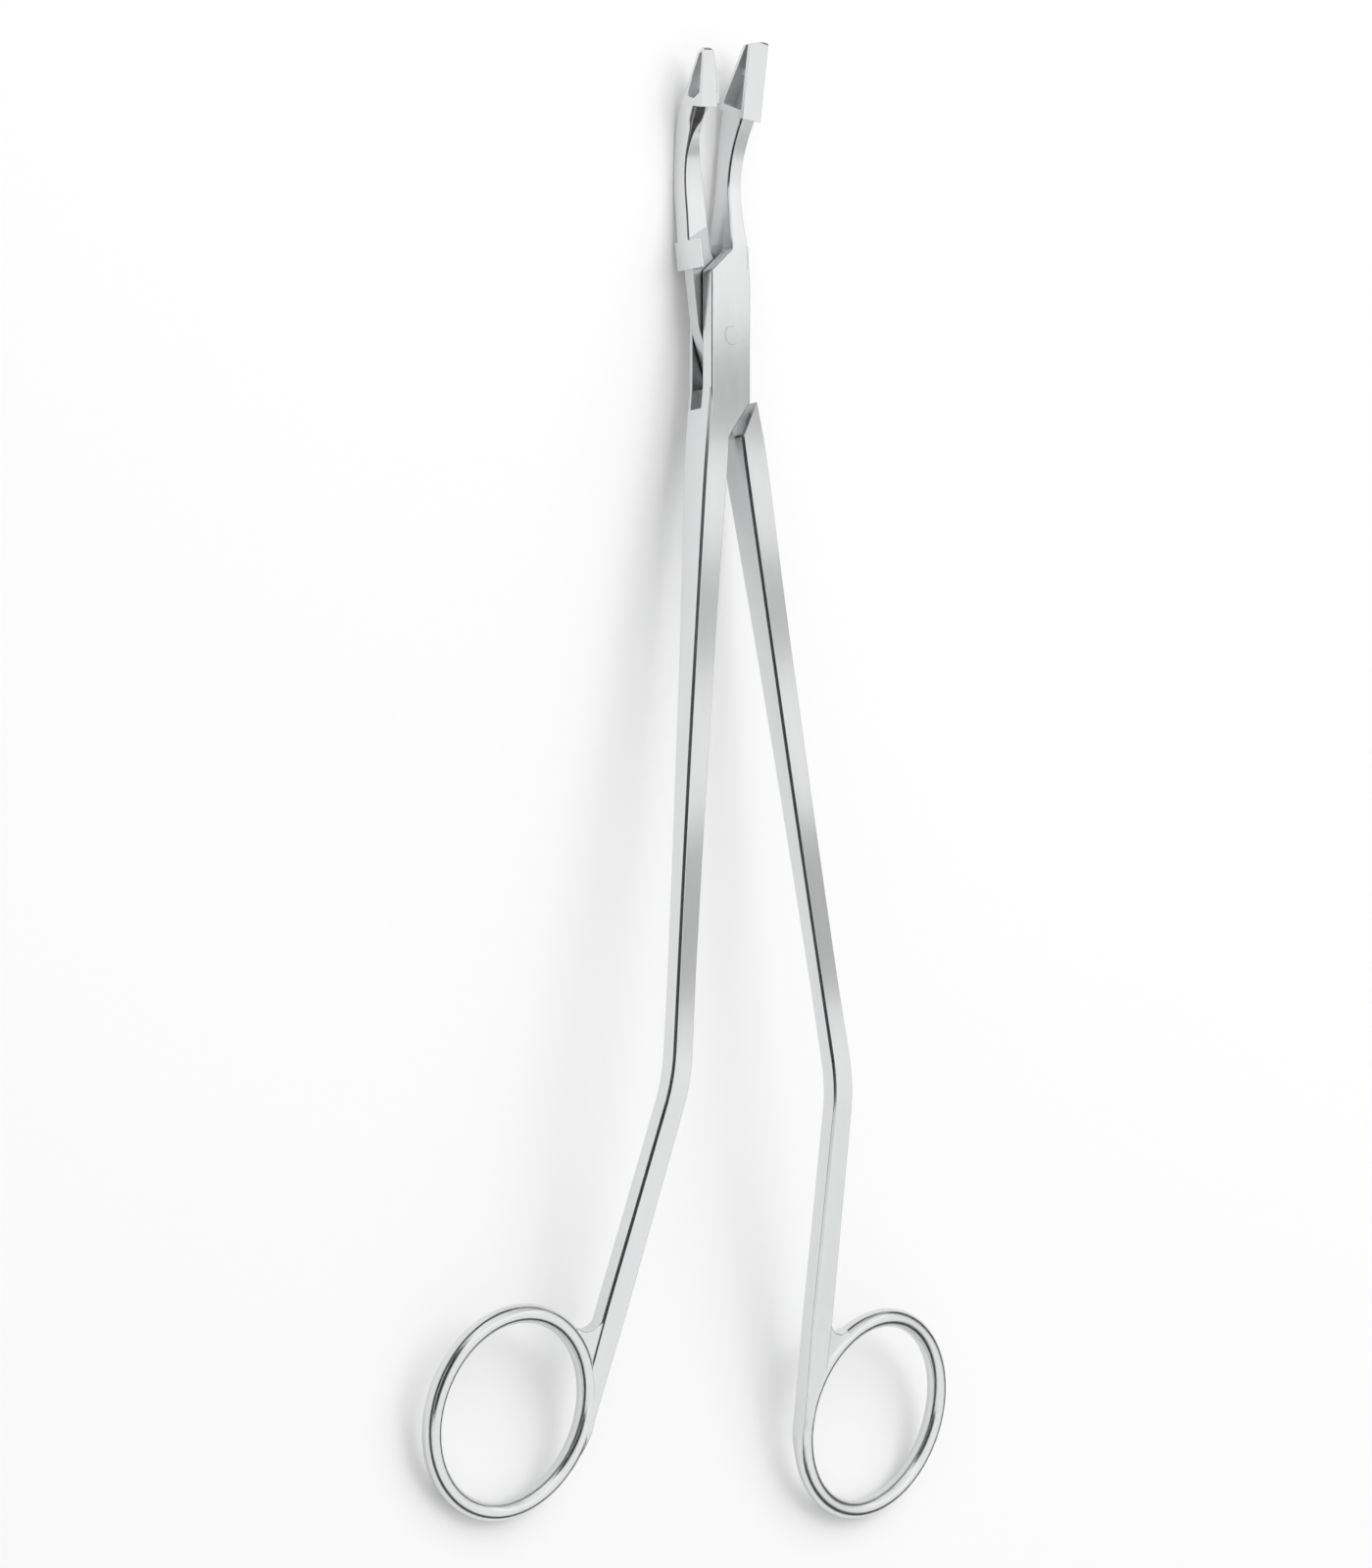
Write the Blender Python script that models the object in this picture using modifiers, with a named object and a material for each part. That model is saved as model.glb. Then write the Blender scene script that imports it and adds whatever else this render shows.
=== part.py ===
# Cervical biopsy punch: ring-handled forceps with a box lock, a fenestrated punch and a basket.
# Metres, +Z up. The model lies on its rings and on the underside of its neck, tips towards +Y.
# In each arm's own frame the joint is the origin, +X is across, +Y runs to the tips and +Z is
# the front of the instrument. All lengths below are in millimetres and are scaled by MM.

import math

import bmesh
import bpy
from mathutils import Matrix, Vector

MM = 0.001

PART_NAME = "cervical_biopsy_punch"

# Opening and shanks
BOX_T = 5.4               # overall thickness of the lock, which the shanks start with
OPEN_DEG = 8.6            # how far the punch arm stands open at rest
SHANK_LEAN_DEG = 3.8      # each shank leans out by this from the axis when closed
SHANK_OFFSET = 1.73       # shank centre line beside the joint
SHANK_LENGTH = 122.5      # joint to the handle's bend
HANDLE_BEND_DEG = 18.6    # handles drop back from the plane of the lock
HANDLE_LENGTH = 57.5      # bend to the middle of a ring
BEND_RADIUS = 26.0
SHANK_EDGE = 0.42         # chamfer along the shank's edges
# Shank sections by distance from the joint: (distance, width, thickness)
SHANK_SECTIONS = [(8.0, 4.3, BOX_T), (17.0, 5.2, BOX_T), (24.0, 5.35, 5.15), (31.0, 5.2, 4.8),
                  (49.0, 4.85, 4.1), (69.0, 4.65, 3.5), (88.0, 4.45, 3.15), (106.0, 4.3, 2.95)]
SHANK_END_W, SHANK_END_T = 4.4, 3.0
# Below the bend: (distance from it, width)
HANDLE_SECTIONS = [(24.0, 4.6), (38.0, 4.8), (46.0, 4.4)]
# Where the shank sinks into the ring: (degrees round the ring, width, part of the thickness)
HANDLE_RUN_OUT = [(8.0, 3.6, 0.98), (15.0, 3.0, 0.95), (21.0, 2.3, 0.87), (27.0, 1.3, 0.62)]

# Finger rings
RING_RADIUS = 16.2        # centre line of the band
RING_SIDE = 15.5          # ring's middle beside the shank
RING_BAND_W, RING_BAND_T = 3.2, 3.4

# Box lock
BOX_W = 9.0
BOX_SIDE_TOP = 10.3       # where the left side ends and the top slant begins
BOX_SLANT_TOP = 14.2
BOX_SIDE_BOTTOM = 10.3
BOX_SLANT_BOTTOM = 16.0
FRONT_PLATE_T = 2.1
SLOT_T = 2.4
LOCK_GAP = 0.3            # running gap round the tongue
SLOT_END = 12.4           # the slot's blind ends, above and below the joint
PIN_R = 1.5
PIN_CLEAR = 0.06          # between pin and tongue, radially
PIN_SEAT = 0.015          # between pin and its holes in the plates, radially
PIN_PROUD = 0.02          # peened ends, ground all but flush

# Jaws
PARTING_GAP = 0.3         # closed gap between the heads' facing rims
BASKET_WIDTH = 4.2        # basket head, across
BASKET_TIP_RISE = 1.1     # outer side of the basket's tip beyond its rim side
BASKET_WALL = 0.5
BASKET_BASE_WALL = 1.15
BASKET_DEPTH = 2.6        # of the hollow, from its rim
WEB_DROP = 1.25           # cross web below the rim
PUNCH_TOP_W, PUNCH_BASE_W = 2.7, 4.0
PLUG_CLEAR = 0.3          # round the plug in the basket
PLUG_REACH = 1.05         # plug beyond the punch head's rim
PLUG_END = 46.9           # where the plug stops short of the basket's tip

# Necks, from the lock to the heads. The basket's: (along, across, up, width, depth, tilt)
BASKET_NECK = [(9.0, 2.0, 0.0, 3.9, BOX_T, 0.0), (15.4, 1.95, 0.0, 3.8, BOX_T, 0.0),
               (18.5, 1.83, 0.0, 3.4, 4.7, 0.0), (21.5, 1.8, 0.05, 3.1, 4.0, 0.0),
               (25.0, 1.9, 0.05, 3.0, 3.2, 3.0), (28.5, 1.95, 0.35, 3.0, 3.3, 8.0),
               (31.5, 2.0, 0.85, 3.05, 3.7, 13.0), (34.3, 2.05, 1.55, 3.1, 4.3, 18.0),
               (37.0, 2.1, 2.35, 3.2, 5.0, 23.0), (37.8, 2.1, 2.7, 3.1, 4.9, 24.0)]
# The punch's: (along, left, right, rise of the back, rise of the front, tilt, relief of the outer
# front corner), the rises counted from the neck's foot at the lock
PUNCH_NECK = [(12.0, -5.3, -0.40, 0.0, 0.0, 0.0, 0.25), (16.0, -5.2, -0.35, 0.0, 0.0, 0.0, 0.25),
              (20.0, -4.9, -0.30, 0.0, 0.0, 0.0, 0.25), (24.0, -4.7, -0.35, 0.0, 0.0, 2.0, 0.25),
              (27.0, -4.5, -0.55, 0.15, 0.15, 6.0, 0.25), (30.0, -4.25, -0.95, 0.5, 0.65, 11.0, 0.3),
              (33.0, -4.05, -1.75, 0.95, 1.75, 17.0, 0.5), (34.6, -4.0, -1.95, 1.5, 2.65, 20.0, 0.85),
              (36.0, -3.95, -2.1, 1.95, 3.45, 22.0, 1.5), (38.3, -3.85, -1.6, 3.15, 4.5, 24.0, 1.5),
              (40.5, -3.6, -1.65, 4.5, 4.65, 24.0, 0.9)]

# Heads in side view (along, up), traced clockwise from the base's back corner
BASKET_SIDE = [(38.1, -0.55), (46.6, 4.38), (48.9, 5.75), (48.8, 6.35), (48.3, 6.70), (41.0, 5.60),
               (35.6, 4.90)]
PUNCH_SIDE = [(38.2, 0.35), (39.8, 1.50), (42.2, 2.55), (46.1, 4.40), (46.85, 5.20), (46.2, 5.68),
              (37.0, 4.85)]
# The punch's opening in side view, on its outer face and where it leaves the plug
OPENING_OUTER = [(39.2, 2.05), (42.3, 3.05), (45.8, 4.75), (46.05, 5.2), (45.1, 5.22), (41.4, 4.85),
                 (39.4, 4.6), (38.6, 3.35)]
OPENING_INNER = [(40.35, 2.15), (42.6, 3.25), (45.5, 4.85), (45.75, 5.12), (45.1, 5.13), (41.6, 4.6),
                 (40.1, 4.35), (39.5, 3.3)]
# The punch's tip from the front (across, along): its rim side falls away as it rounds over
PUNCH_CROWN = [(0.12, 42.6), (-0.35, 45.6), (-0.55, 46.25), (-0.95, 46.7), (-1.6, 47.1)]

STEEL = (0.62, 0.63, 0.64, 1.0)


# Scene and material helpers

def clear_scene():
    """Remove every object and give the parts a collection of their own."""
    for item in list(bpy.data.objects):
        bpy.data.objects.remove(item, do_unlink=True)
    parts = bpy.data.collections.new(PART_NAME)
    bpy.context.scene.collection.children.link(parts)


def make_material(name, colour, roughness):
    """A steel with the given colour and roughness."""
    material = bpy.data.materials.new(name)
    material.use_nodes = True
    shader = material.node_tree.nodes["Principled BSDF"]
    shader.inputs["Base Color"].default_value = colour
    shader.inputs["Roughness"].default_value = roughness
    shader.inputs["Metallic"].default_value = 1.0
    material.diffuse_color = colour
    return material


def put(mesh, name):
    """Link a mesh to the scene as a new object."""
    item = bpy.data.objects.new(name, mesh)
    bpy.data.collections[PART_NAME].objects.link(item)
    return item


def drop(item):
    """Remove a tool object and its mesh."""
    mesh = item.data
    bpy.data.objects.remove(item, do_unlink=True)
    if mesh.users == 0:
        bpy.data.meshes.remove(mesh)


def bake(item):
    """Replace an object's mesh by what its modifiers make of it."""
    depsgraph = bpy.context.evaluated_depsgraph_get()
    mesh = bpy.data.meshes.new_from_object(item.evaluated_get(depsgraph))
    item.modifiers.clear()
    item.data = mesh
    return item


def boolean(item, others, operation):
    """Weld others to an item or cut them from it, and remove them."""
    for other in others:
        step = item.modifiers.new(operation.title(), "BOOLEAN")
        step.operation = operation
        step.solver = "EXACT"
        step.object = other
        bake(item)
        drop(other)
    return item


def bevel(item, width, segments=2, angle=40.0):
    """Chamfer or round the edges that are sharper than an angle."""
    step = item.modifiers.new("Bevel", "BEVEL")
    step.width = width * MM
    step.segments = segments
    step.limit_method = "ANGLE"
    step.angle_limit = math.radians(angle)
    step.use_clamp_overlap = True
    return bake(item)


# Shape helpers

def plate(name, outline, low, high):
    """A flat outline in XY, extruded from low to high along Z."""
    curve = bpy.data.curves.new(name, "CURVE")
    curve.dimensions = "2D"
    curve.fill_mode = "BOTH"
    curve.extrude = 0.5 * (high - low) * MM
    spline = curve.splines.new("POLY")
    spline.points.add(len(outline) - 1)
    for point, (x, y) in zip(spline.points, outline):
        point.co = (x * MM, y * MM, 0.0, 1.0)
    spline.use_cyclic_u = True
    flat = bpy.data.objects.new(name, curve)
    bpy.data.collections[PART_NAME].objects.link(flat)
    bpy.context.view_layer.update()
    depsgraph = bpy.context.evaluated_depsgraph_get()
    mesh = bpy.data.meshes.new_from_object(flat.evaluated_get(depsgraph))
    bpy.data.objects.remove(flat, do_unlink=True)
    bpy.data.curves.remove(curve)
    mesh.transform(Matrix.Translation((0.0, 0.0, 0.5 * (low + high) * MM)))
    work = bmesh.new()
    work.from_mesh(mesh)
    bmesh.ops.remove_doubles(work, verts=work.verts, dist=1e-7)
    bmesh.ops.dissolve_limit(work, angle_limit=0.001, verts=work.verts, edges=work.edges)
    bmesh.ops.recalc_face_normals(work, faces=work.faces)
    work.to_mesh(mesh)
    work.free()
    return put(mesh, name)


def side_plate(name, outline, left, right):
    """A flat outline given as (along, up), extruded across from left to right."""
    item = plate(name, outline, left, right)
    # local x, y, z become along, up, across
    turn = Matrix(((0, 0, 1, 0), (1, 0, 0, 0), (0, 1, 0, 0), (0, 0, 0, 1)))
    item.data.transform(turn)
    return item


def loft(name, rings):
    """A closed skin through rings of equally many points, with flat ends."""
    work = bmesh.new()
    rows = [[work.verts.new(Vector(point) * MM) for point in ring] for ring in rings]
    count = len(rings[0])
    for lower, upper in zip(rows, rows[1:]):
        for k in range(count):
            following = (k + 1) % count
            work.faces.new((lower[k], lower[following], upper[following], upper[k]))
    work.faces.new(rows[0])
    work.faces.new(list(reversed(rows[-1])))
    bmesh.ops.recalc_face_normals(work, faces=work.faces)
    mesh = bpy.data.meshes.new(name)
    work.to_mesh(mesh)
    work.free()
    return put(mesh, name)


def chamfered(width, thick, edge):
    """A rectangle's corners cut off, as (across, up) pairs."""
    a, b = 0.5 * width, 0.5 * thick
    cut = min(edge, 0.45 * width, 0.45 * thick)
    return [(a - cut, b), (-a + cut, b), (-a, b - cut), (-a, -b + cut),
            (-a + cut, -b), (a - cut, -b), (a, -b + cut), (a, b - cut)]


def oval(width, thick, count=16):
    """An oval section."""
    return [(0.5 * width * math.cos(2 * math.pi * (k + 0.5) / count),
             0.5 * thick * math.sin(2 * math.pi * (k + 0.5) / count)) for k in range(count)]


def sweep(name, stations):
    """Skin sections set square on a path: each station is (place, across, up, section)."""
    rings = []
    for place, across, up, section in stations:
        rings.append([place + across * x + up * z for x, z in section])
    return loft(name, rings)


def inset(outline, distances):
    """Move each side of a convex outline inwards by its own distance."""
    count = len(outline)
    area = sum(outline[k][0] * outline[(k + 1) % count][1] - outline[(k + 1) % count][0] * outline[k][1]
               for k in range(count))
    turn = 1.0 if area > 0 else -1.0
    lines = []
    for k in range(count):
        a, b = Vector(outline[k]), Vector(outline[(k + 1) % count])
        along = (b - a).normalized()
        inward = Vector((-along.y, along.x)) * turn
        lines.append((a + inward * distances[k], along))
    corners = []
    for k in range(count):
        (p, d), (q, e) = lines[k - 1], lines[k]
        cross = d.x * e.y - d.y * e.x
        t = ((q.x - p.x) * e.y - (q.y - p.y) * e.x) / cross
        corners.append((p.x + d.x * t, p.y + d.y * t))
    return corners


def rounded(outline, radii, steps=4):
    """Round the corners of an outline, each by its own radius."""
    count = len(outline)
    points = []
    for k in range(count):
        here = Vector(outline[k])
        before = (Vector(outline[k - 1]) - here)
        after = (Vector(outline[(k + 1) % count]) - here)
        radius = radii[k] if isinstance(radii, (list, tuple)) else radii
        if radius <= 0:
            points.append(tuple(here))
            continue
        half = 0.5 * before.angle(after)
        reach = min(radius / math.tan(half), 0.45 * before.length, 0.45 * after.length)
        start = here + before.normalized() * reach
        finish = here + after.normalized() * reach
        for j in range(steps + 1):
            t = j / steps
            a = start.lerp(here, t)
            b = here.lerp(finish, t)
            points.append(tuple(a.lerp(b, t)))
    return points


# Handles: shank, bend and finger ring, for the left side; the other arm mirrors them

def handle_frame(side):
    """The directions and the bend's corner of the handle on one side."""
    lean = math.radians(SHANK_LEAN_DEG)
    down = Vector((side * math.sin(lean), -math.cos(lean), 0.0))
    out = Vector((side * math.cos(lean), math.sin(lean), 0.0))
    front = Vector((0.0, 0.0, 1.0))
    bend = math.radians(HANDLE_BEND_DEG)
    handle_down = down * math.cos(bend) - front * math.sin(bend)
    handle_front = front * math.cos(bend) + down * math.sin(bend)
    corner = down * SHANK_LENGTH + out * SHANK_OFFSET
    return down, out, front, handle_down, handle_front, corner


def blend(a, b, t):
    """The value between a and b at t."""
    return a + (b - a) * t


def make_handle(side):
    """A shank with its bend, its finger ring and the web in the crotch."""
    down, out, front, handle_down, handle_front, corner = handle_frame(side)
    stations = []

    def station(place, along_front, width, thick, edge=SHANK_EDGE):
        stations.append((place, out, along_front, chamfered(width, thick, edge)))

    reach = BEND_RADIUS * math.tan(0.5 * math.radians(HANDLE_BEND_DEG))
    for distance, width, thick in SHANK_SECTIONS:
        station(out * SHANK_OFFSET + down * distance, front, width, thick)
    steps = 6
    centre = corner - down * reach - front * BEND_RADIUS
    for k in range(steps + 1):
        angle = math.radians(HANDLE_BEND_DEG) * k / steps
        radial = front * math.cos(angle) + down * math.sin(angle)
        station(centre + radial * BEND_RADIUS, radial, SHANK_END_W, SHANK_END_T)
    for distance, width in HANDLE_SECTIONS:
        station(corner + handle_down * distance, handle_front, width, SHANK_END_T)
    hub = corner + handle_down * HANDLE_LENGTH + out * RING_SIDE
    # the shank runs out along the ring's inner side and sinks into the band
    for degrees, width, thick in HANDLE_RUN_OUT:
        angle = math.radians(degrees)
        radial = -out * math.cos(angle) + handle_down * math.sin(angle)
        stations.append((hub + radial * (RING_RADIUS - 0.05), -radial, handle_front,
                         chamfered(width, SHANK_END_T * thick, 0.6)))
    shank = sweep("handle", stations)

    band = []
    count = 56
    for k in range(count):
        angle = 2 * math.pi * k / count
        radial = out * math.cos(angle) + handle_down * math.sin(angle)
        band.append([hub + radial * (RING_RADIUS + x) + handle_front * z
                     for x, z in oval(RING_BAND_W, RING_BAND_T, 12)])
    ring = closed_loft("ring", band)

    # the crotch between shank and ring is filled out with a soft web
    web = crotch_web(corner, out, handle_down, handle_front, hub)
    return boolean(shank, [ring, web], "UNION")


def closed_loft(name, rings):
    """A loft whose last ring joins its first."""
    work = bmesh.new()
    rows = [[work.verts.new(Vector(point) * MM) for point in ring] for ring in rings]
    count = len(rings[0])
    for j in range(len(rows)):
        lower, upper = rows[j], rows[(j + 1) % len(rows)]
        for k in range(count):
            following = (k + 1) % count
            work.faces.new((lower[k], lower[following], upper[following], upper[k]))
    bmesh.ops.recalc_face_normals(work, faces=work.faces)
    mesh = bpy.data.meshes.new(name)
    work.to_mesh(mesh)
    work.free()
    return put(mesh, name)


def crotch_web(corner, out, handle_down, handle_front, hub):
    """Fill the notch where the ring leaves the shank, with a hollow curved upper edge."""
    radius = 3.2
    edge = 0.5 * 4.4
    # a circle touching the shank's outer edge and the ring's outer edge
    outer = RING_RADIUS + 0.5 * RING_BAND_W
    across = RING_SIDE - edge - radius
    rise = math.sqrt((outer + radius) ** 2 - across ** 2)
    cx, cy = edge + radius, HANDLE_LENGTH - rise
    on_ring = Vector((RING_SIDE - cx, rise)).normalized() * radius
    start = math.atan2(0.0, -1.0)
    finish = math.atan2(on_ring.y, on_ring.x)
    outline = [(edge - 1.4, cy - 0.4)]
    steps = 6
    for k in range(steps + 1):
        angle = start + (finish - start) * k / steps
        outline.append((cx + radius * math.cos(angle), cy + radius * math.sin(angle)))
    tip = Vector((cx, cy)) + on_ring
    inward = (Vector((RING_SIDE, HANDLE_LENGTH)) - tip).normalized()
    outline.append(tuple(tip + inward * 1.3))
    outline.append((edge - 1.4, cy + rise * 0.62))
    low, high = -0.5 * SHANK_END_T + 0.25, 0.5 * SHANK_END_T - 0.25
    rings = []
    for z in (low, high):
        rings.append([corner + out * x + handle_down * y + handle_front * z for x, y in outline])
    return loft("web", rings)


# Female arm: box, slot, neck and basket

def slant_outline():
    """The box's front outline, slanted at both ends."""
    half = 0.5 * BOX_W
    return [(-half, -BOX_SIDE_BOTTOM - 8.0), (-half, BOX_SIDE_TOP), (-0.1, BOX_SLANT_TOP),
            (1.3, BOX_SLANT_TOP + 1.2), (half - 0.5, BOX_SLANT_TOP + 1.2), (half, 9.0),
            (half, -BOX_SIDE_BOTTOM), (-0.1 + 0.2, -BOX_SLANT_BOTTOM), (-1.2, -BOX_SLANT_BOTTOM - 2.3)]


def make_box():
    """The box's plate with eased edges."""
    front = 0.5 * BOX_T
    box = plate("box", slant_outline(), -front, front)
    bevel(box, 0.35, 2, 40.0)
    return box


def slot_levels():
    """Heights of the slot's back and front walls."""
    high = 0.5 * BOX_T - FRONT_PLATE_T
    return high - SLOT_T, high


def tongue_levels():
    """Heights of the tongue's back and front faces."""
    low, high = slot_levels()
    return low + LOCK_GAP, high - LOCK_GAP


def cylinder(name, radius, low, high, sides=32):
    """An upright cylinder on the joint's axis."""
    work = bmesh.new()
    bmesh.ops.create_cone(work, cap_ends=True, cap_tris=False, segments=sides, radius1=radius * MM,
                          radius2=radius * MM, depth=(high - low) * MM)
    mesh = bpy.data.meshes.new(name)
    work.to_mesh(mesh)
    work.free()
    mesh.transform(Matrix.Translation((0.0, 0.0, 0.5 * (low + high) * MM)))
    return put(mesh, name)


def tongue_edges():
    """In-plane outline of the tongue, closed position, and how wide it is at the joint."""
    half = 0.5 * BOX_W
    return [(-half - 0.5, BOX_SIDE_TOP + 6.0), (-half - 0.5, 2.0), (-0.5 * half - 0.6, -6.5),
            (0.55, -BOX_SLANT_BOTTOM + 1.0), (0.9, -BOX_SLANT_BOTTOM - 4.0),
            (half + 0.1, -BOX_SLANT_BOTTOM - 4.0), (half, -BOX_SIDE_BOTTOM), (half, -2.0),
            (0.5 * half + 0.6, 6.5), (-0.35, BOX_SLANT_TOP), (-0.35, BOX_SIDE_TOP + 8.0)]


def make_slot():
    """What the tongue sweeps through, open at the upper left and the lower right."""
    low, high = slot_levels()
    half = 0.5 * BOX_W
    outline = rounded([(-half - 2.0, SLOT_END + 6.0), (-half - 2.0, -SLOT_END),
                       (-half + 1.4, -SLOT_END),
                       (0.5 * -half - 0.6 + 0.1, -7.6), (-0.05, -BOX_SLANT_BOTTOM - 4.5),
                       (half + 2.0, -BOX_SLANT_BOTTOM - 4.5), (half + 2.0, SLOT_END),
                       (half - 1.4, SLOT_END), (0.5 * half + 0.55, 7.6), (0.1, BOX_SLANT_TOP),
                       (-0.05, SLOT_END + 6.0)],
                      [0, 0, 0.8, 2.0, 0, 0, 0, 0.8, 2.0, 0, 0])
    return plate("slot", outline, low, high)


def make_female_neck():
    """The slim neck from the box up to the basket."""
    across = Vector((1.0, 0.0, 0.0))
    stations = []
    for along, x, up, width, thick, tilt in BASKET_NECK:
        angle = math.radians(tilt)
        normal = Vector((0.0, -math.sin(angle), math.cos(angle)))
        stations.append((Vector((x, along, up)), across, normal, chamfered(width, thick, 0.3)))
    return sweep("neck", stations)


def make_basket():
    """The basket: a hollow head with a window, a cross web and a long outer tip."""
    left = PARTING_GAP
    right = left + BASKET_WIDTH
    sides = BASKET_SIDE
    outline = rounded(sides, [0, 0, 0.5, 0.4, 0.6, 0, 0], 3)
    head = side_plate("head", outline, left, right)
    wall = BASKET_WALL
    walls = [wall, wall, wall + 0.2, wall + 0.2, wall, wall, BASKET_BASE_WALL]
    inner = inset(sides, walls)
    # the hollow, split by a cross web whose top stands a little below the rim
    hollow = side_plate("hollow", rounded(inner, [0.3, 0, 0.3, 0.3, 0.3, 0, 0.3], 2), left - 1.0,
                        left + BASKET_DEPTH)
    # the tip is longer on its outer side
    top = max(along for along, up in sides)
    trim = plate("trim", [(left - 2.0, top - BASKET_TIP_RISE - 0.5), (right + 0.5, top + 0.1),
                          (right + 0.5, top + 4.0), (left - 2.0, top + 4.0)], -3.0, 12.0)
    boolean(head, [trim], "DIFFERENCE")
    web_line = (43.35, 44.35)
    tilt = math.tan(math.radians(22.0))
    web_outline = [(web_line[0] + 0.9, 1.5), (web_line[1] + 0.9, 1.5),
                   (web_line[1] + 0.9 - 6.0 * tilt, 7.5), (web_line[0] + 0.9 - 6.0 * tilt, 7.5)]
    web = side_plate("web", web_outline, left + WEB_DROP, left + BASKET_DEPTH + 0.4)
    boolean(hollow, [web], "DIFFERENCE")
    # the nearer window is cut through the back wall
    ledge = [value + 0.35 for value in walls]
    window_full = inset(sides, ledge)
    window = side_plate("window", window_full, left + BASKET_DEPTH - 0.5, right + 1.0)
    near = web_line[0] + 0.65
    keep = side_plate("keep", [(30.0, -6.0), (near + 4.0 * tilt, -2.5), (near - 6.0 * tilt, 7.5),
                               (30.0, 12.0)], left, right + 2.0)
    boolean(window, [keep], "INTERSECT")
    boolean(head, [hollow, window], "DIFFERENCE")
    return head


def make_basket_arm():
    """Handle, box, neck and basket in one piece, with the pin's holes."""
    arm = make_handle(-1)
    box = make_box()
    neck = make_female_neck()
    boolean(arm, [box, neck], "UNION")
    boolean(arm, [make_slot()], "DIFFERENCE")
    boolean(arm, [make_basket()], "UNION")
    low, high = -0.5 * BOX_T - 1.0, 0.5 * BOX_T + 1.0
    boolean(arm, [cylinder("eye", PIN_R + PIN_SEAT, low, high)], "DIFFERENCE")
    return arm


# Male arm, closed position: tongue, lug, neck and punch

def make_male_neck():
    """The deep neck from the tongue up to the punch."""
    across = Vector((1.0, 0.0, 0.0))
    face = tongue_levels()[1]
    back = -0.5 * BOX_T + 0.2
    stations = []
    for along, left, right, rise_back, rise_front, tilt, relief in PUNCH_NECK:
        low, high = back + rise_back, face + rise_front
        angle = math.radians(tilt)
        normal = Vector((0.0, -math.sin(angle), math.cos(angle)))
        middle = Vector((0.5 * (left + right), along, 0.5 * (low + high)))
        width, depth = right - left, high - low
        section = chamfered(width, depth, 0.25)
        # the outer front corner lies between the second and third points
        section[1] = (-0.5 * width + min(relief, width - 0.4), section[1][1])
        section[2] = (section[2][0], 0.5 * depth - relief)
        stations.append((middle, across, normal, section))
    return sweep("neck", stations)


def make_lock_room():
    """The box's upper end with its gap, in front of and behind the tongue."""
    half = 0.5 * BOX_W + 3.0
    outline = [(-half, 2.0), (-half, BOX_SIDE_TOP + 0.6), (-0.5 * BOX_W, BOX_SIDE_TOP + 0.6),
               (-0.1, BOX_SLANT_TOP + 0.55), (1.3, BOX_SLANT_TOP + 1.8), (half, BOX_SLANT_TOP + 1.8),
               (half, 2.0)]
    low, high = tongue_levels()
    return [plate("room", outline, -BOX_T, low), plate("room", outline, high, BOX_T)]


def make_lug():
    """A stop at the outer edge that stands the lock's full depth, sloping down inwards."""
    depth = 0.5 * BOX_T
    outer, inner = -5.35, -3.2
    face = tongue_levels()[1]
    rings = []
    for y in (BOX_SIDE_TOP + 0.9, BOX_SIDE_TOP + 5.6):
        rings.append([Vector((outer, y, -depth)), Vector((outer, y, depth)),
                      Vector((outer + 0.5, y, depth)), Vector((inner, y, face - 0.3)),
                      Vector((inner, y, -1.2)), Vector((outer + 0.5, y, -depth))])
    return loft("lug", rings)


def plug_outline():
    """The basket's outline stopped before its tip and drawn in by its wall and the clearance."""
    back, knee, low_tip = BASKET_SIDE[:3]
    high_tip, crest, heel = BASKET_SIDE[4:]
    stopped = []
    for near, far in ((knee, low_tip), (crest, high_tip)):
        t = (PLUG_END - near[0]) / (far[0] - near[0])
        stopped.append((PLUG_END, blend(near[1], far[1], t)))
    margin = BASKET_WALL + PLUG_CLEAR
    return inset([back, knee, stopped[0], stopped[1], crest, heel],
                 [margin, margin, 0.0, margin, margin, BASKET_BASE_WALL + PLUG_CLEAR])


def make_punch():
    """The punch: a hooded head with its rim at zero, and the plug that enters the basket."""
    outline = rounded(PUNCH_SIDE, [0, 0, 0, 0.5, 0.5, 0.6, 0], 3)
    head = side_plate("head", outline, -PUNCH_BASE_W, 0.0)
    # the outer side slopes in towards the tip and rounds over it
    top = -PUNCH_TOP_W
    slope = plate("slope", [(-PUNCH_BASE_W - 3.0, 34.0), (-PUNCH_BASE_W - 3.0, 52.0), (top + 1.0, 52.0),
                            (top + 1.1, 47.0), (top + 0.6, 46.8), (top + 0.15, 46.35), (top - 0.13, 45.6),
                            (-PUNCH_BASE_W - 0.05, 36.6), (-PUNCH_BASE_W - 0.4, 34.0)], -4.0, 12.0)
    boolean(head, [slope], "DIFFERENCE")
    room = rounded(plug_outline(), [0.3, 0, 0, 0, 0, 0.3], 2)
    plug = side_plate("plug", room, -0.6, PLUG_REACH)
    # the plug's reach falls away towards the tip
    ease = plate("ease", [(PLUG_REACH + 2.0, 38.0), (PLUG_REACH + 0.3, 41.0), (0.2, 46.6),
                          (0.2, 52.0), (PLUG_REACH + 2.0, 52.0)], -6.0, 14.0)
    boolean(plug, [ease], "DIFFERENCE")
    crown = plate("crown", PUNCH_CROWN + [(-1.6, 52.0), (2.0, 52.0), (2.0, 44.0)], -6.0, 14.0)
    boolean(head, [plug], "UNION")
    boolean(head, [crown], "DIFFERENCE")
    return head


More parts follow.
